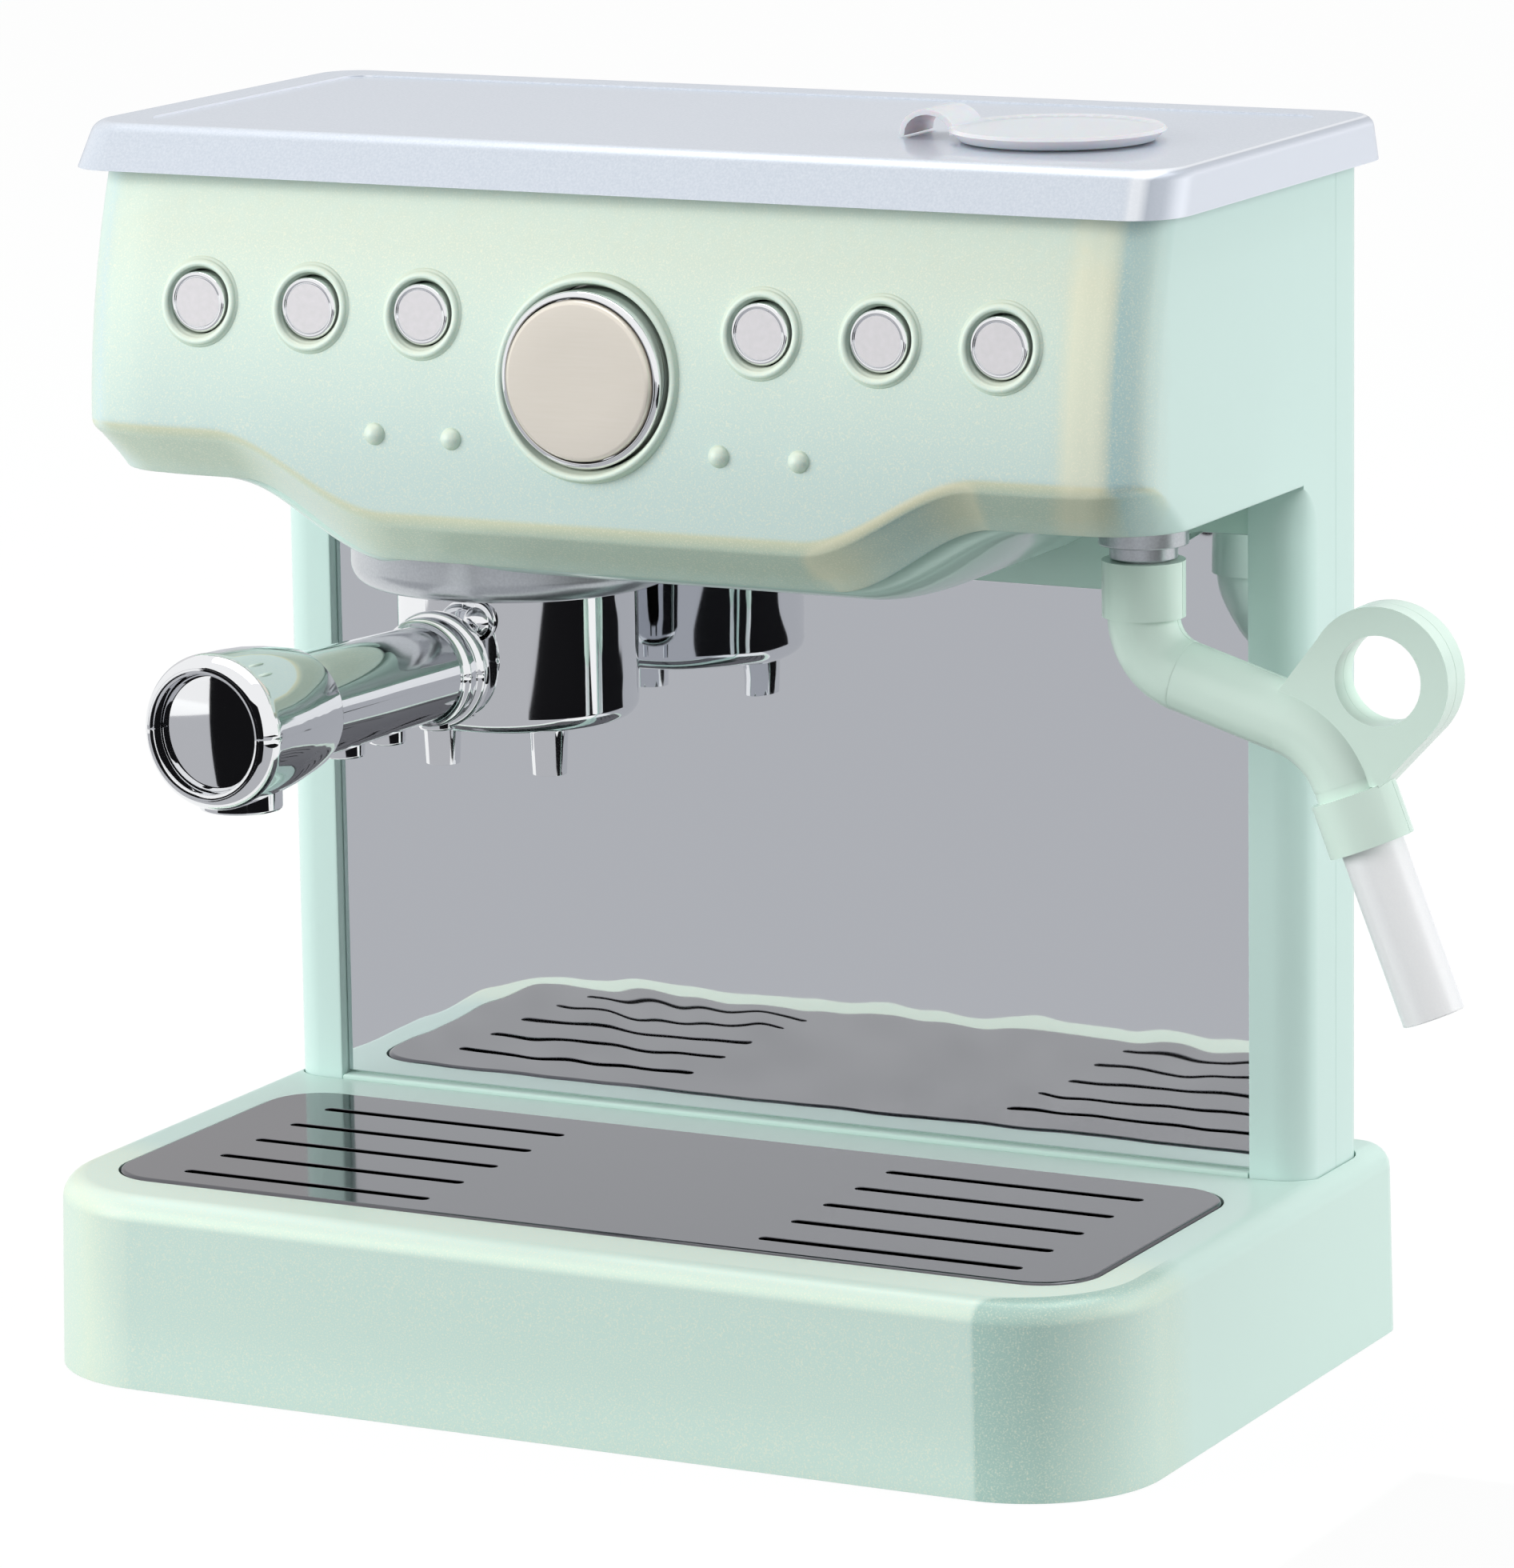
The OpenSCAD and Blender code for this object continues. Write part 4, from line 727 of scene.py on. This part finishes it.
def corner_radius(z):
    """How round the pillar's corner is at a height: it shrinks along the arc into the head."""
    up = z - (SIDE_LIP - GUSSET)
    if up <= 0:
        return PILLAR_CORNER
    return max(0.05, PILLAR_CORNER - GUSSET + math.sqrt(max(0, GUSSET ** 2 - up * up)))


heights = [FOOT_Z + 12 * k for k in range(11)]
heights += [SIDE_LIP - GUSSET + GUSSET * math.sin(math.radians(a)) for a in range(0, 74, 6)]
heights += [SIDE_LIP, 180.0, HEAD_TOP]


def pillar_point(side):
    def place(i, j):
        z = heights[j]
        r = corner_radius(z)
        angles = [math.radians(a) for a in range(0, 91, 6)]
        ring = [(PILLAR_X, WALL_Y), (PILLAR_X, PILLAR_Y + 0.5), (PILLAR_X + 0.15, PILLAR_Y + 0.15),
                (PILLAR_X + 0.5, PILLAR_Y)]
        ring += [(HALF - r + r * math.sin(a), PILLAR_Y + r - r * math.cos(a)) for a in angles]
        ring += [(HALF, SEAM_Y), (PILLAR_INSIDE, SEAM_Y), (PILLAR_INSIDE, WALL_Y)]
        ring.append((PILLAR_X, WALL_Y))
        return side * ring[i][0], ring[i][1], z
    return place


pillars = [bent_grid("pillar", 24, len(heights), pillar_point(side), close=True)
           for side in (-1, 1)]
for piece in [head] + pillars:
    piece.data.materials.append(front_lacquer_and_light)
for piece in rings + dots:
    piece.data.materials.append(raised_lacquer_and_light)
shell = join([head] + pillars + rings + dots)
shell.name = "front_shell_moulded"
soften(shell, 0)
dress(shell, "front_shell")
print("front shell:", len(shell.data.polygons), "faces")

# %% [markdown]
# ## Inner wall and belly
# Behind the lip the underside of the head swells into a shallow belly, which the group ring and
# the wand hang from. A second grid is bent over its curves: each of its columns starts behind the
# lip and rounds down and back. A notched apron and a sill hold the mirror.

# %% Belly, apron and sill
BELLY_DROP = 16.4
BELLY_REACH = 24
BELLY_Y = 36.4
BELLY_CORNER = 10.0
BELLY_FLAT = 70
INSIDE_HALF = 105.2
APRON_HALF = 96.2


def belly_rows(x):
    top = lip_height(x) + 0.6
    drop = max(0.02, top - (SIDE_LIP - BELLY_DROP * bulge(x, 50, 89)))
    reach = BELLY_REACH * min(1, drop / 5)
    past = max(0, abs(x) - 95.3)
    start = BELLY_Y + BELLY_CORNER - math.sqrt(max(0, BELLY_CORNER ** 2 - past ** 2))
    rows = [(start, top + 3.5), (start, top + 1)]
    rows += [(start + reach * (1 - math.cos(t)), top - drop * math.sin(t))
             for t in [math.radians(6 * k) for k in range(16)]]
    return rows + [(BELLY_FLAT, top - drop), (101.5, top - drop)]


belly_steps = 160
belly_x = [-INSIDE_HALF + 2 * INSIDE_HALF * k / belly_steps for k in range(belly_steps + 1)]
belly_at = [belly_rows(x) for x in belly_x]
belly = bent_grid("belly", len(belly_x), len(belly_at[0]),
                  lambda i, j: (belly_x[i],) + belly_at[i][len(belly_at[0]) - 1 - j])
lowest_face = min(belly.data.polygons,
                  key=lambda p: abs(p.center.x) + abs(p.center.y - FRONT - BELLY_FLAT * MM))
thicken(belly, looks_inwards=lowest_face.normal.z > 0)


def apron_ring(i, j):
    x = -APRON_HALF + 2 * APRON_HALF * j / 80
    low, high = 156 - 12 * bulge(x, 73, 86), 164
    ring = [(99.9, low), (99.9, high), (103.9, high), (103.9, low), (99.9, low)]
    return (x,) + ring[i]


apron = bent_grid("apron", 5, 81, apron_ring, close=True)
wall_sheet = block("wall_sheet", (-105.0, 101.75, FOOT_Z), (105.0, 103.8, 164))
sill = block("sill", (-APRON_HALF, PILLAR_Y, FOOT_Z), (APRON_HALF, 103.7, 36.9))
round_edges(sill, at_height(36.9), 0.5, 2)
inner_wall = join([belly, apron, wall_sheet, sill])
inner_wall.name = "inner_wall_moulded"
soften(inner_wall, 0)
dress(inner_wall, "inner_wall", polished_abs)
print("inner wall:", len(inner_wall.data.polygons), "faces")

# %% [markdown]
# ## Group ring and handle
# The ring under the head is turned, with a wide round lower edge. The handle is turned too, as one
# profile with its collars, shaft and thicker grip, then cut in two along its middle: the real one
# is two plated half shells, and the seam between them shows as a fine line. Low pads stand under
# the lower half, and a disc with a slightly domed face is set into the round rim at the end.

# %% Group ring
GROUP_X, GROUP_Y = -37.5, 67.0
ring_outline = [(144.9, 22.9), (144.5, 23.3)] + arc(148.5, 26.8, 4.0, 180, 90, 10)
ring_outline += [(155.6, 30.8), (155.6, 22.9)]
group_ring = turned("group_ring_turned", ring_outline, (GROUP_X, GROUP_Y, 0), "Z", 160)
soften(group_ring, 0)
dress(group_ring, "group_ring")

# %% Handle
HANDLE_TURN = 3.8
HANDLE_Z = 131.5
HANDLE_RISE = 0.7
turn_handle = (Matrix.Translation(at(GROUP_X, GROUP_Y, HANDLE_Z))
               @ Matrix.Rotation(math.radians(-HANDLE_TURN), 4, "Z")
               @ Matrix.Rotation(math.radians(-HANDLE_RISE), 4, "X")
               @ Matrix.Translation(-at(GROUP_X, GROUP_Y, HANDLE_Z)))
grip = [(26, 0), (26, 9.2)] + arc(26.8, 9.9, 0.8, 180, 90, 3) + arc(28.3, 9.9, 1.0, 90, 0, 4)
grip += arc(30.3, 9.3, 0.8, 140, 90, 2) + arc(31.6, 9.3, 0.8, 90, 10, 3)
grip += [(33.2, 8.9), (50, 9.3), (74.7, 9.9), (74.9, 10.3)] + arc(75.8, 10.5, 0.9, 180, 100, 4)
grip += [(79, 12.1), (84, 13.0), (89, 13.6), (94, 13.85)]
grip += arc(98.9, 9.6, 4.4, 97, 30, 10) + arc(102.0, 11.4, 0.8, 30, -60, 8)
grip += [(101.9, 10.75), (101.2, 10.7), (100.2, 10.65), (99.4, 10.6), (99.4, 0)]
handle = turned("handle", [(-d, r) for d, r in grip], (GROUP_X, GROUP_Y, HANDLE_Z), "Y", 96)
PADS = [(28.0, 3.4, 11.0), (44.6, 3.4, 11.0), (59.0, 4.0, 11.0), (91.5, 7.4, 15.0)]
SEAM = 0.03


def handle_half(side):
    """side is 1 for the upper half and -1 for the lower one, which has the pads: distance from the
    group's middle, radius and reach below the handle's axis."""
    half = handle.copy()
    half.data = handle.data.copy()
    bpy.context.scene.collection.objects.link(half)
    only(half)
    bpy.ops.object.mode_set(mode="EDIT")
    bpy.ops.mesh.select_all(action="SELECT")
    bpy.ops.mesh.bisect(plane_co=at(0, 0, HANDLE_Z + side * SEAM), plane_no=(0, 0, 1),
                        use_fill=True, clear_inner=side > 0, clear_outer=side < 0)
    bpy.ops.object.mode_set(mode="OBJECT")
    if side < 0:
        pads = []
        for d, r, drop in PADS:
            low = HANDLE_Z - drop
            outline = [(HANDLE_Z - 5, 0), (HANDLE_Z - 5, r), (low + 0.5, r), (low + 0.15, r - 0.15)]
            outline += [(low, r - 0.5), (low, 0)]
            pads.append(turned("pad", outline, (GROUP_X, GROUP_Y - d, 0), "Z", 40))
        half = join([half] + pads)
    half.name = "handle_top_turned" if side > 0 else "handle_bottom_turned"
    half.data.transform(turn_handle)
    soften(half, 0.05, 1, 60)
    dress(half, "handle_top" if side > 0 else "handle_bottom")
    return half


handle_half(1)
handle_half(-1)
bpy.data.objects.remove(handle, do_unlink=True)
disc = [(100.9, 0)] + [(100.9 - (k / 12) ** 2 * 0.5, 10.1 * k / 12) for k in range(1, 13)]
disc += arc(100.0, 10.1, 0.4, 55, 90, 3) + [(99.0, 10.5), (99.0, 0)]
cap_disc = turned("handle_cap_turned", [(-d, r) for d, r in disc], (GROUP_X, GROUP_Y, HANDLE_Z),
                  "Y", 96)
cap_disc.data.transform(turn_handle)
soften(cap_disc, 0)
dress(cap_disc, "handle_cap")
print("handle pieces:", 3)

# %% [markdown]
# ## Base
# The base is a wide tray that is open below. Its front corners have a large radius, its sides lean
# in a little, and its top edge is round. A block is bevelled at its upright edges and then round
# the top, and the recess for the grille, the drip basin and the footprint of the body are cut out.

# %% Base
base = block("base_moulded", (-111.3, 0, 0), (111.3, 138, 36))
narrow_top(base, (1 - 1.2 / 222.6, 1 - 1.2 / 138), (0, 69, 36))
round_edges(base, lambda e: upright(e, 0), 25.5, 24)
round_edges(base, lambda e: upright(e, 138), 7, 10)
round_edges(base, at_height(36), 4.5, 8)
cut_block(base, (-100.3, 13.7, 34.0), (100.3, 87.3, 40), 11.3)
cut_block(base, (-97, 17, 20), (97, 84, 40), 8)
cut_block(base, (-107.8, 98.4, 34), (107.8, 127.8, 40), 6.7)
hollow = block("cutter", (-108.5, 2.8, -1), (108.5, 135.2, 17.8))
round_edges(hollow, lambda e: upright(e, 2.8), 22.7, 12)
cut(base, hollow)
soften(base, 0.35)
dress(base, "base_shell", base_lacquer_and_light)
print("base:", len(base.data.polygons), "faces")

# %% [markdown]
# ## Drip grille
# The grille is a thin plate of dark plated plastic with five long slots in each half. A cutter is
# made for each slot, and all ten cut at once.

# %% Grille
grille = block("grille_moulded", (-100, 14, 34.0), (100, 87, 36.4))
round_edges(grille, upright, 11, 14)
round_edges(grille, at_height(36.4), 0.9, 4)
slots = []
for side in (-1, 1):
    for y in (22.3, 35.3, 48.3, 61.3, 74.3):
        slot_cutter = block("slot", (side * 60 - 26, y - 1.1, 30), (side * 60 + 26, y + 1.1, 40))
        round_edges(slot_cutter, upright, 1.09, 6)
        slots.append(slot_cutter)
cut(grille, join(slots))
soften(grille, 0.2)
dress(grille, "drip_grille")
print("grille:", len(grille.data.polygons), "faces")

# %% [markdown]
# ## Lid
# The lid overhangs the body on all sides. Its front face leans back, its corners are round, and a
# very shallow panel is sunk into its top.

# %% Lid
lid = block("lid_moulded", (-111.5, 29, 222.1), (111.5, 131.5, 230.3))
narrow_top(lid, (1 - 1.8 / 223, 1 - 5.9 / 102.5), (0, 118.5, 230.3))
round_edges(lid, upright, 9, 14)
round_edges(lid, at_height(230.3), 2, 6)
cut_block(lid, (-101.5, 43.2, 229.9), (101.5, 121.5, 232), 5)
cut(lid, rod((71.5, 72, 226), 15.4, "Z"))
soften(lid, 0.3)
dress(lid, "top_lid")
print("lid:", len(lid.data.polygons), "faces")

# %% [markdown]
# ## Buttons
# Six equal caps have a satin face, a fine groove and a bright round rim. One is turned and copied,
# and the faces inside its groove get the satin finish. The large cap is a bright ring with a wide
# satin face in it.

# %% Small buttons
CAP_FACE = 4.52
CAP_FRONT = 28
cap = [(26.9, 0), (26.9, 4.5), (27.1, 4.62), (27.1, 4.72), (26.85, 4.82)]
cap += arc(27.35, 5.0, 0.6, 200, 90, 7)
cap += [(34.3, 5.6), (34.3, 8.0), (35.5, 8.0), (35.5, 2.5), (45, 2.5), (45, 0)]
first_button = turned("button_1_turned", cap, (BUTTON_X[0], 0, BUTTON_Z), "Y")
for index, x in enumerate(BUTTON_X):
    button = first_button
    if index:
        button = first_button.copy()
        button.data = first_button.data.copy()
        bpy.context.scene.collection.objects.link(button)
        button.name = "button_%d_turned" % (index + 1)
        for vertex in button.data.vertices:
            vertex.co.x += (x - BUTTON_X[0]) * MM
for index, x in enumerate(BUTTON_X):
    button = bpy.data.objects["button_%d_turned" % (index + 1)]
    soften(button, 0)
    node = "button_%d" % (index + 1)
    dress(button, node)
    button.data.materials.append(small_cap_face)
    for face in button.data.polygons:
        across = Vector((face.center.x / MM - x, face.center.z / MM - BUTTON_Z)).length
        if across < CAP_FACE and (face.center.y - FRONT) / MM < CAP_FRONT:
            face.material_index = 1
print("buttons:", len(BUTTON_X))

# %% Large button
ring = [(27, 14.75), (23.8, 14.75), (23.4, 14.88)] + arc(24.2, 15.1, 0.95, 190, 90, 8)
ring += [(34.3, 16.05), (34.3, 18.6), (35.5, 18.6), (35.5, 14.2), (27, 14.2)]
dial = turned("dial_turned", ring, (0, 0, DIAL_Z), "Y", 144)
soften(dial, 0)
dress(dial, "dial_button")
plate = [(22.3, 0), (22.22, 8.0), (22.2, 13.65), (22.35, 14.15), (22.7, 14.45), (23.7, 14.6)]
plate.append((23.7, 0))
dial_plate = turned("dial_plate_turned", plate, (0, 0, DIAL_Z), "Y", 144)
soften(dial_plate, 0)
dress(dial_plate, "dial_face")

# %% [markdown]
# ## Pieces that keep their solid's shape
# The other pieces already have the right form. A copy of each solid's mesh is merged, its flat
# faces are joined again, and its hard edges are softened. What stays inside the body gets its
# finish and keeps its solid as it is.

# %% Soft-edged copies
def soft_copy(node, edge_mm=0.25):
    source = frame["nodes"][node]
    piece = source.copy()
    piece.data = source.data.copy()
    piece.parent = None
    piece.name = node + "_moulded"
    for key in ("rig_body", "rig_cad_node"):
        if key in piece:
            del piece[key]
    bpy.context.scene.collection.objects.link(piece)
    only(piece)
    bpy.ops.object.mode_set(mode="EDIT")
    bpy.ops.mesh.select_all(action="SELECT")
    bpy.ops.mesh.remove_doubles(threshold=SAME_POINT)
    bpy.ops.mesh.dissolve_limited(angle_limit=math.radians(0.4))
    bpy.ops.object.mode_set(mode="OBJECT")
    piece.data.materials.clear()
    soften(piece, edge_mm)
    dress(piece, node)
    return piece


BOWL_Z = 135
BOWL_FADE = 12
BOWL_LONGER = 1.2
MODELLED = ["front_shell", "base_shell", "drip_grille", "top_lid", "dial_button", "dial_face",
            "inner_wall", "group_ring", "handle_top", "handle_bottom", "handle_cap"]
MODELLED += ["button_%d" % i for i in range(1, 7)]
INSIDE = ["water_tank", "tank_cover", "valve_body", "outlet_hose", "button_carrier",
          "carrier_screws", "dial_spring", "valve_plunger", "body_screws"]
INSIDE += ["button_spring_%d" % i for i in range(1, 7)]
for name, solid in frame["nodes"].items():
    if name in INSIDE:
        solid.data.materials.clear()
        solid.data.materials.append(finish_of_slot[slot_of_node[name]])
    elif name not in MODELLED:
        copied = soft_copy(name)
        if name == "filter_basket":
            # The bowl's lower part and its spouts reach a little further down.
            for vertex in copied.data.vertices:
                below = (BOWL_Z * MM - vertex.co.z) / (BOWL_FADE * MM)
                vertex.co.z -= BOWL_LONGER * MM * min(1, max(0, below))

# %% [markdown]
# ## Floor and background
# The toy stands on white paper that runs on into a white room. The camera and the bright metal see
# that white, while the room's diffuse light stays at a plain level. The paper keeps a faint shadow.

# %% Floor and world
def seen_directly(tree):
    """1 for what the camera, a reflection or glass sees, and 0 for diffuse light."""
    path = add_node(tree, "ShaderNodeLightPath")
    first = add_node(tree, "ShaderNodeMath", {"operation": "MAXIMUM"},
                     links={0: path.outputs["Is Camera Ray"], 1: path.outputs["Is Glossy Ray"]})
    return add_node(tree, "ShaderNodeMath", {"operation": "MAXIMUM"},
                    links={0: first.outputs[0], 1: path.outputs["Is Transmission Ray"]}).outputs[0]


bpy.ops.object.select_all(action="DESELECT")
bpy.ops.mesh.primitive_plane_add(size=14, location=(0, 0, -0.0002))
floor = bpy.context.object
floor.name = "floor"
finish, tree = new_finish("white_paper")
paper = add_node(tree, "ShaderNodeBsdfDiffuse", inputs={"Color": linear("#B8BCBA")})
glow = add_node(tree, "ShaderNodeEmission", inputs={"Color": linear("#FFFFFF"), "Strength": 1.08})
amount = add_node(tree, "ShaderNodeMath", {"operation": "MULTIPLY"}, {1: 0.88},
                  {0: seen_directly(tree)})
end_finish(tree, add_node(tree, "ShaderNodeMixShader",
                          links={0: amount.outputs[0], 1: paper.outputs[0], 2: glow.outputs[0]}))
floor.data.materials.append(finish)

AMBIENT = 0.5
world = bpy.data.worlds.new("studio")
world.use_nodes = True
tree = world.node_tree
tree.nodes.clear()
level = add_node(tree, "ShaderNodeMapRange", inputs={"To Min": AMBIENT, "To Max": 1.0},
                 links={"Value": seen_directly(tree)})
room = add_node(tree, "ShaderNodeBackground", inputs={"Color": (1, 1, 1, 1)},
                links={"Strength": level.outputs[0]})
add_node(tree, "ShaderNodeOutputWorld", links={"Surface": room.outputs[0]})
bpy.context.scene.world = world
bpy.context.scene.view_settings.view_transform = "Standard"

# %% [markdown]
# ## Cards for the reflections
# Bright metal shows what stands round it. As on a real set, grey and black cards lie in front of
# the toy, outside the view, so that the mirror turns an even grey and the plating gets its dark
# stripes. They show only in reflections, and throw no shadow and no light. Upright light cards
# far behind the toy give the lid and the grille their tone, and two small black ones hang close to
# the handle's end: a ray that has come further than 9 cm passes them. The cloth on the right does
# the opposite. No reflection shows it, but it takes soft light away from the base's right corner.

# %% Cards
BLACK = "#141416"
HANDLE_END = Vector((-0.0444, -0.1062, 0.13))
CARD_HALF = 0.045
CARD_GAP = 0.06
SEEN_WITHIN = 0.09


def card(name, low, high, colour, z=0.0003):
    bpy.ops.object.select_all(action="DESELECT")
    bpy.ops.mesh.primitive_plane_add(size=1)
    piece = bpy.context.object
    piece.name = name
    for vertex in piece.data.vertices:
        x = (low if vertex.co.x < 0 else high)[0]
        y = (low if vertex.co.y < 0 else high)[1]
        vertex.co = x, y, z
    finish, tree = new_finish(name)
    end_finish(tree, add_node(tree, "ShaderNodeEmission", inputs={"Color": linear(colour)}))
    piece.data.materials.append(finish)
    piece.visible_camera = piece.visible_diffuse = piece.visible_shadow = False
    piece.visible_transmission = False
    return piece


card("grey_card", (-0.78, -1.6), (0.9, -0.10), "#BBBCC0")
card("black_card_far", (-0.46, -1.4), (0.0, -0.85), BLACK, 0.0004)
card("black_card_right", (0.33, -0.50), (1.4, 0.12), BLACK, 0.0004)
UPRIGHT = Matrix.Rotation(math.pi / 2, 4, "X")
for name, azimuth, left, right_end in (("black_card_end", -27, -0.0139, 0.02),
                                       ("black_card_rim", 15, -CARD_HALF, CARD_HALF)):
    near_card = card(name, (left, -CARD_HALF), (right_end, CARD_HALF), BLACK, 0.0)
    turn_card = Matrix.Rotation(math.radians(azimuth), 4, "Z")
    near_card.data.transform(Matrix.Translation(HANDLE_END) @ turn_card
                             @ Matrix.Translation((0, -CARD_GAP, 0)) @ UPRIGHT)
    tree = near_card.data.materials[0].node_tree
    shown = next(n for n in tree.nodes if n.type == "EMISSION")
    output = next(n for n in tree.nodes if n.type == "OUTPUT_MATERIAL")
    path = add_node(tree, "ShaderNodeLightPath")
    far = add_node(tree, "ShaderNodeMath", {"operation": "GREATER_THAN"}, {1: SEEN_WITHIN},
                   {0: path.outputs["Ray Length"]})
    clear = add_node(tree, "ShaderNodeBsdfTransparent")
    either = add_node(tree, "ShaderNodeMixShader", links={0: far.outputs[0], 1: shown.outputs[0],
                      2: clear.outputs[0]})
    tree.links.new(either.outputs[0], output.inputs["Surface"])
cloth = card("black_cloth", (0.15, -0.75), (1.1, -0.02), BLACK, 0.0006)
cloth.visible_glossy = False
cloth.visible_diffuse = True
for name, low, high, colour in (("back_card_low", 0.03, 0.47, "#D0D2D6"),
                                ("back_card", 0.47, 1.25, "#E4E3E4")):
    back_card = card(name, (-2.5, low), (1.5, high), colour, 0.0)
    back_card.data.transform(Matrix.Translation((0, 1.6, 0)) @ UPRIGHT)

# %% [markdown]
# ## Lamps
# Large soft lamps: one overhead, one from the left and a weaker one from the right. The side that
# faces the camera gets the least light, which darkens the base's round corner, and the base's
# lacquer adds painted shade there as well. The two side lamps stay out of the reflections, so that
# mirror and plating show only room and cards.

# %% Lamps
def lamp(name, place, size, power, aim=(0, 0, 0.12), sheen=False):
    data = bpy.data.lights.new(name, "AREA")
    data.shape = "RECTANGLE"
    data.size, data.size_y = size
    data.energy = power
    light = bpy.data.objects.new(name, data)
    light.location = place
    light.rotation_euler = (Vector(aim) - Vector(place)).to_track_quat("-Z", "Y").to_euler()
    light.visible_glossy = sheen
    bpy.context.scene.collection.objects.link(light)
    return light


lamp("overhead", (0.0, 0.3, 1.6), (1.6, 1.0), 9, sheen=True)
lamp("left_box", (-1.1, -1.2, 0.6), (0.9, 1.0), 20)
lamp("right_box", (1.45, 0.45, 0.55), (0.7, 0.9), 12)
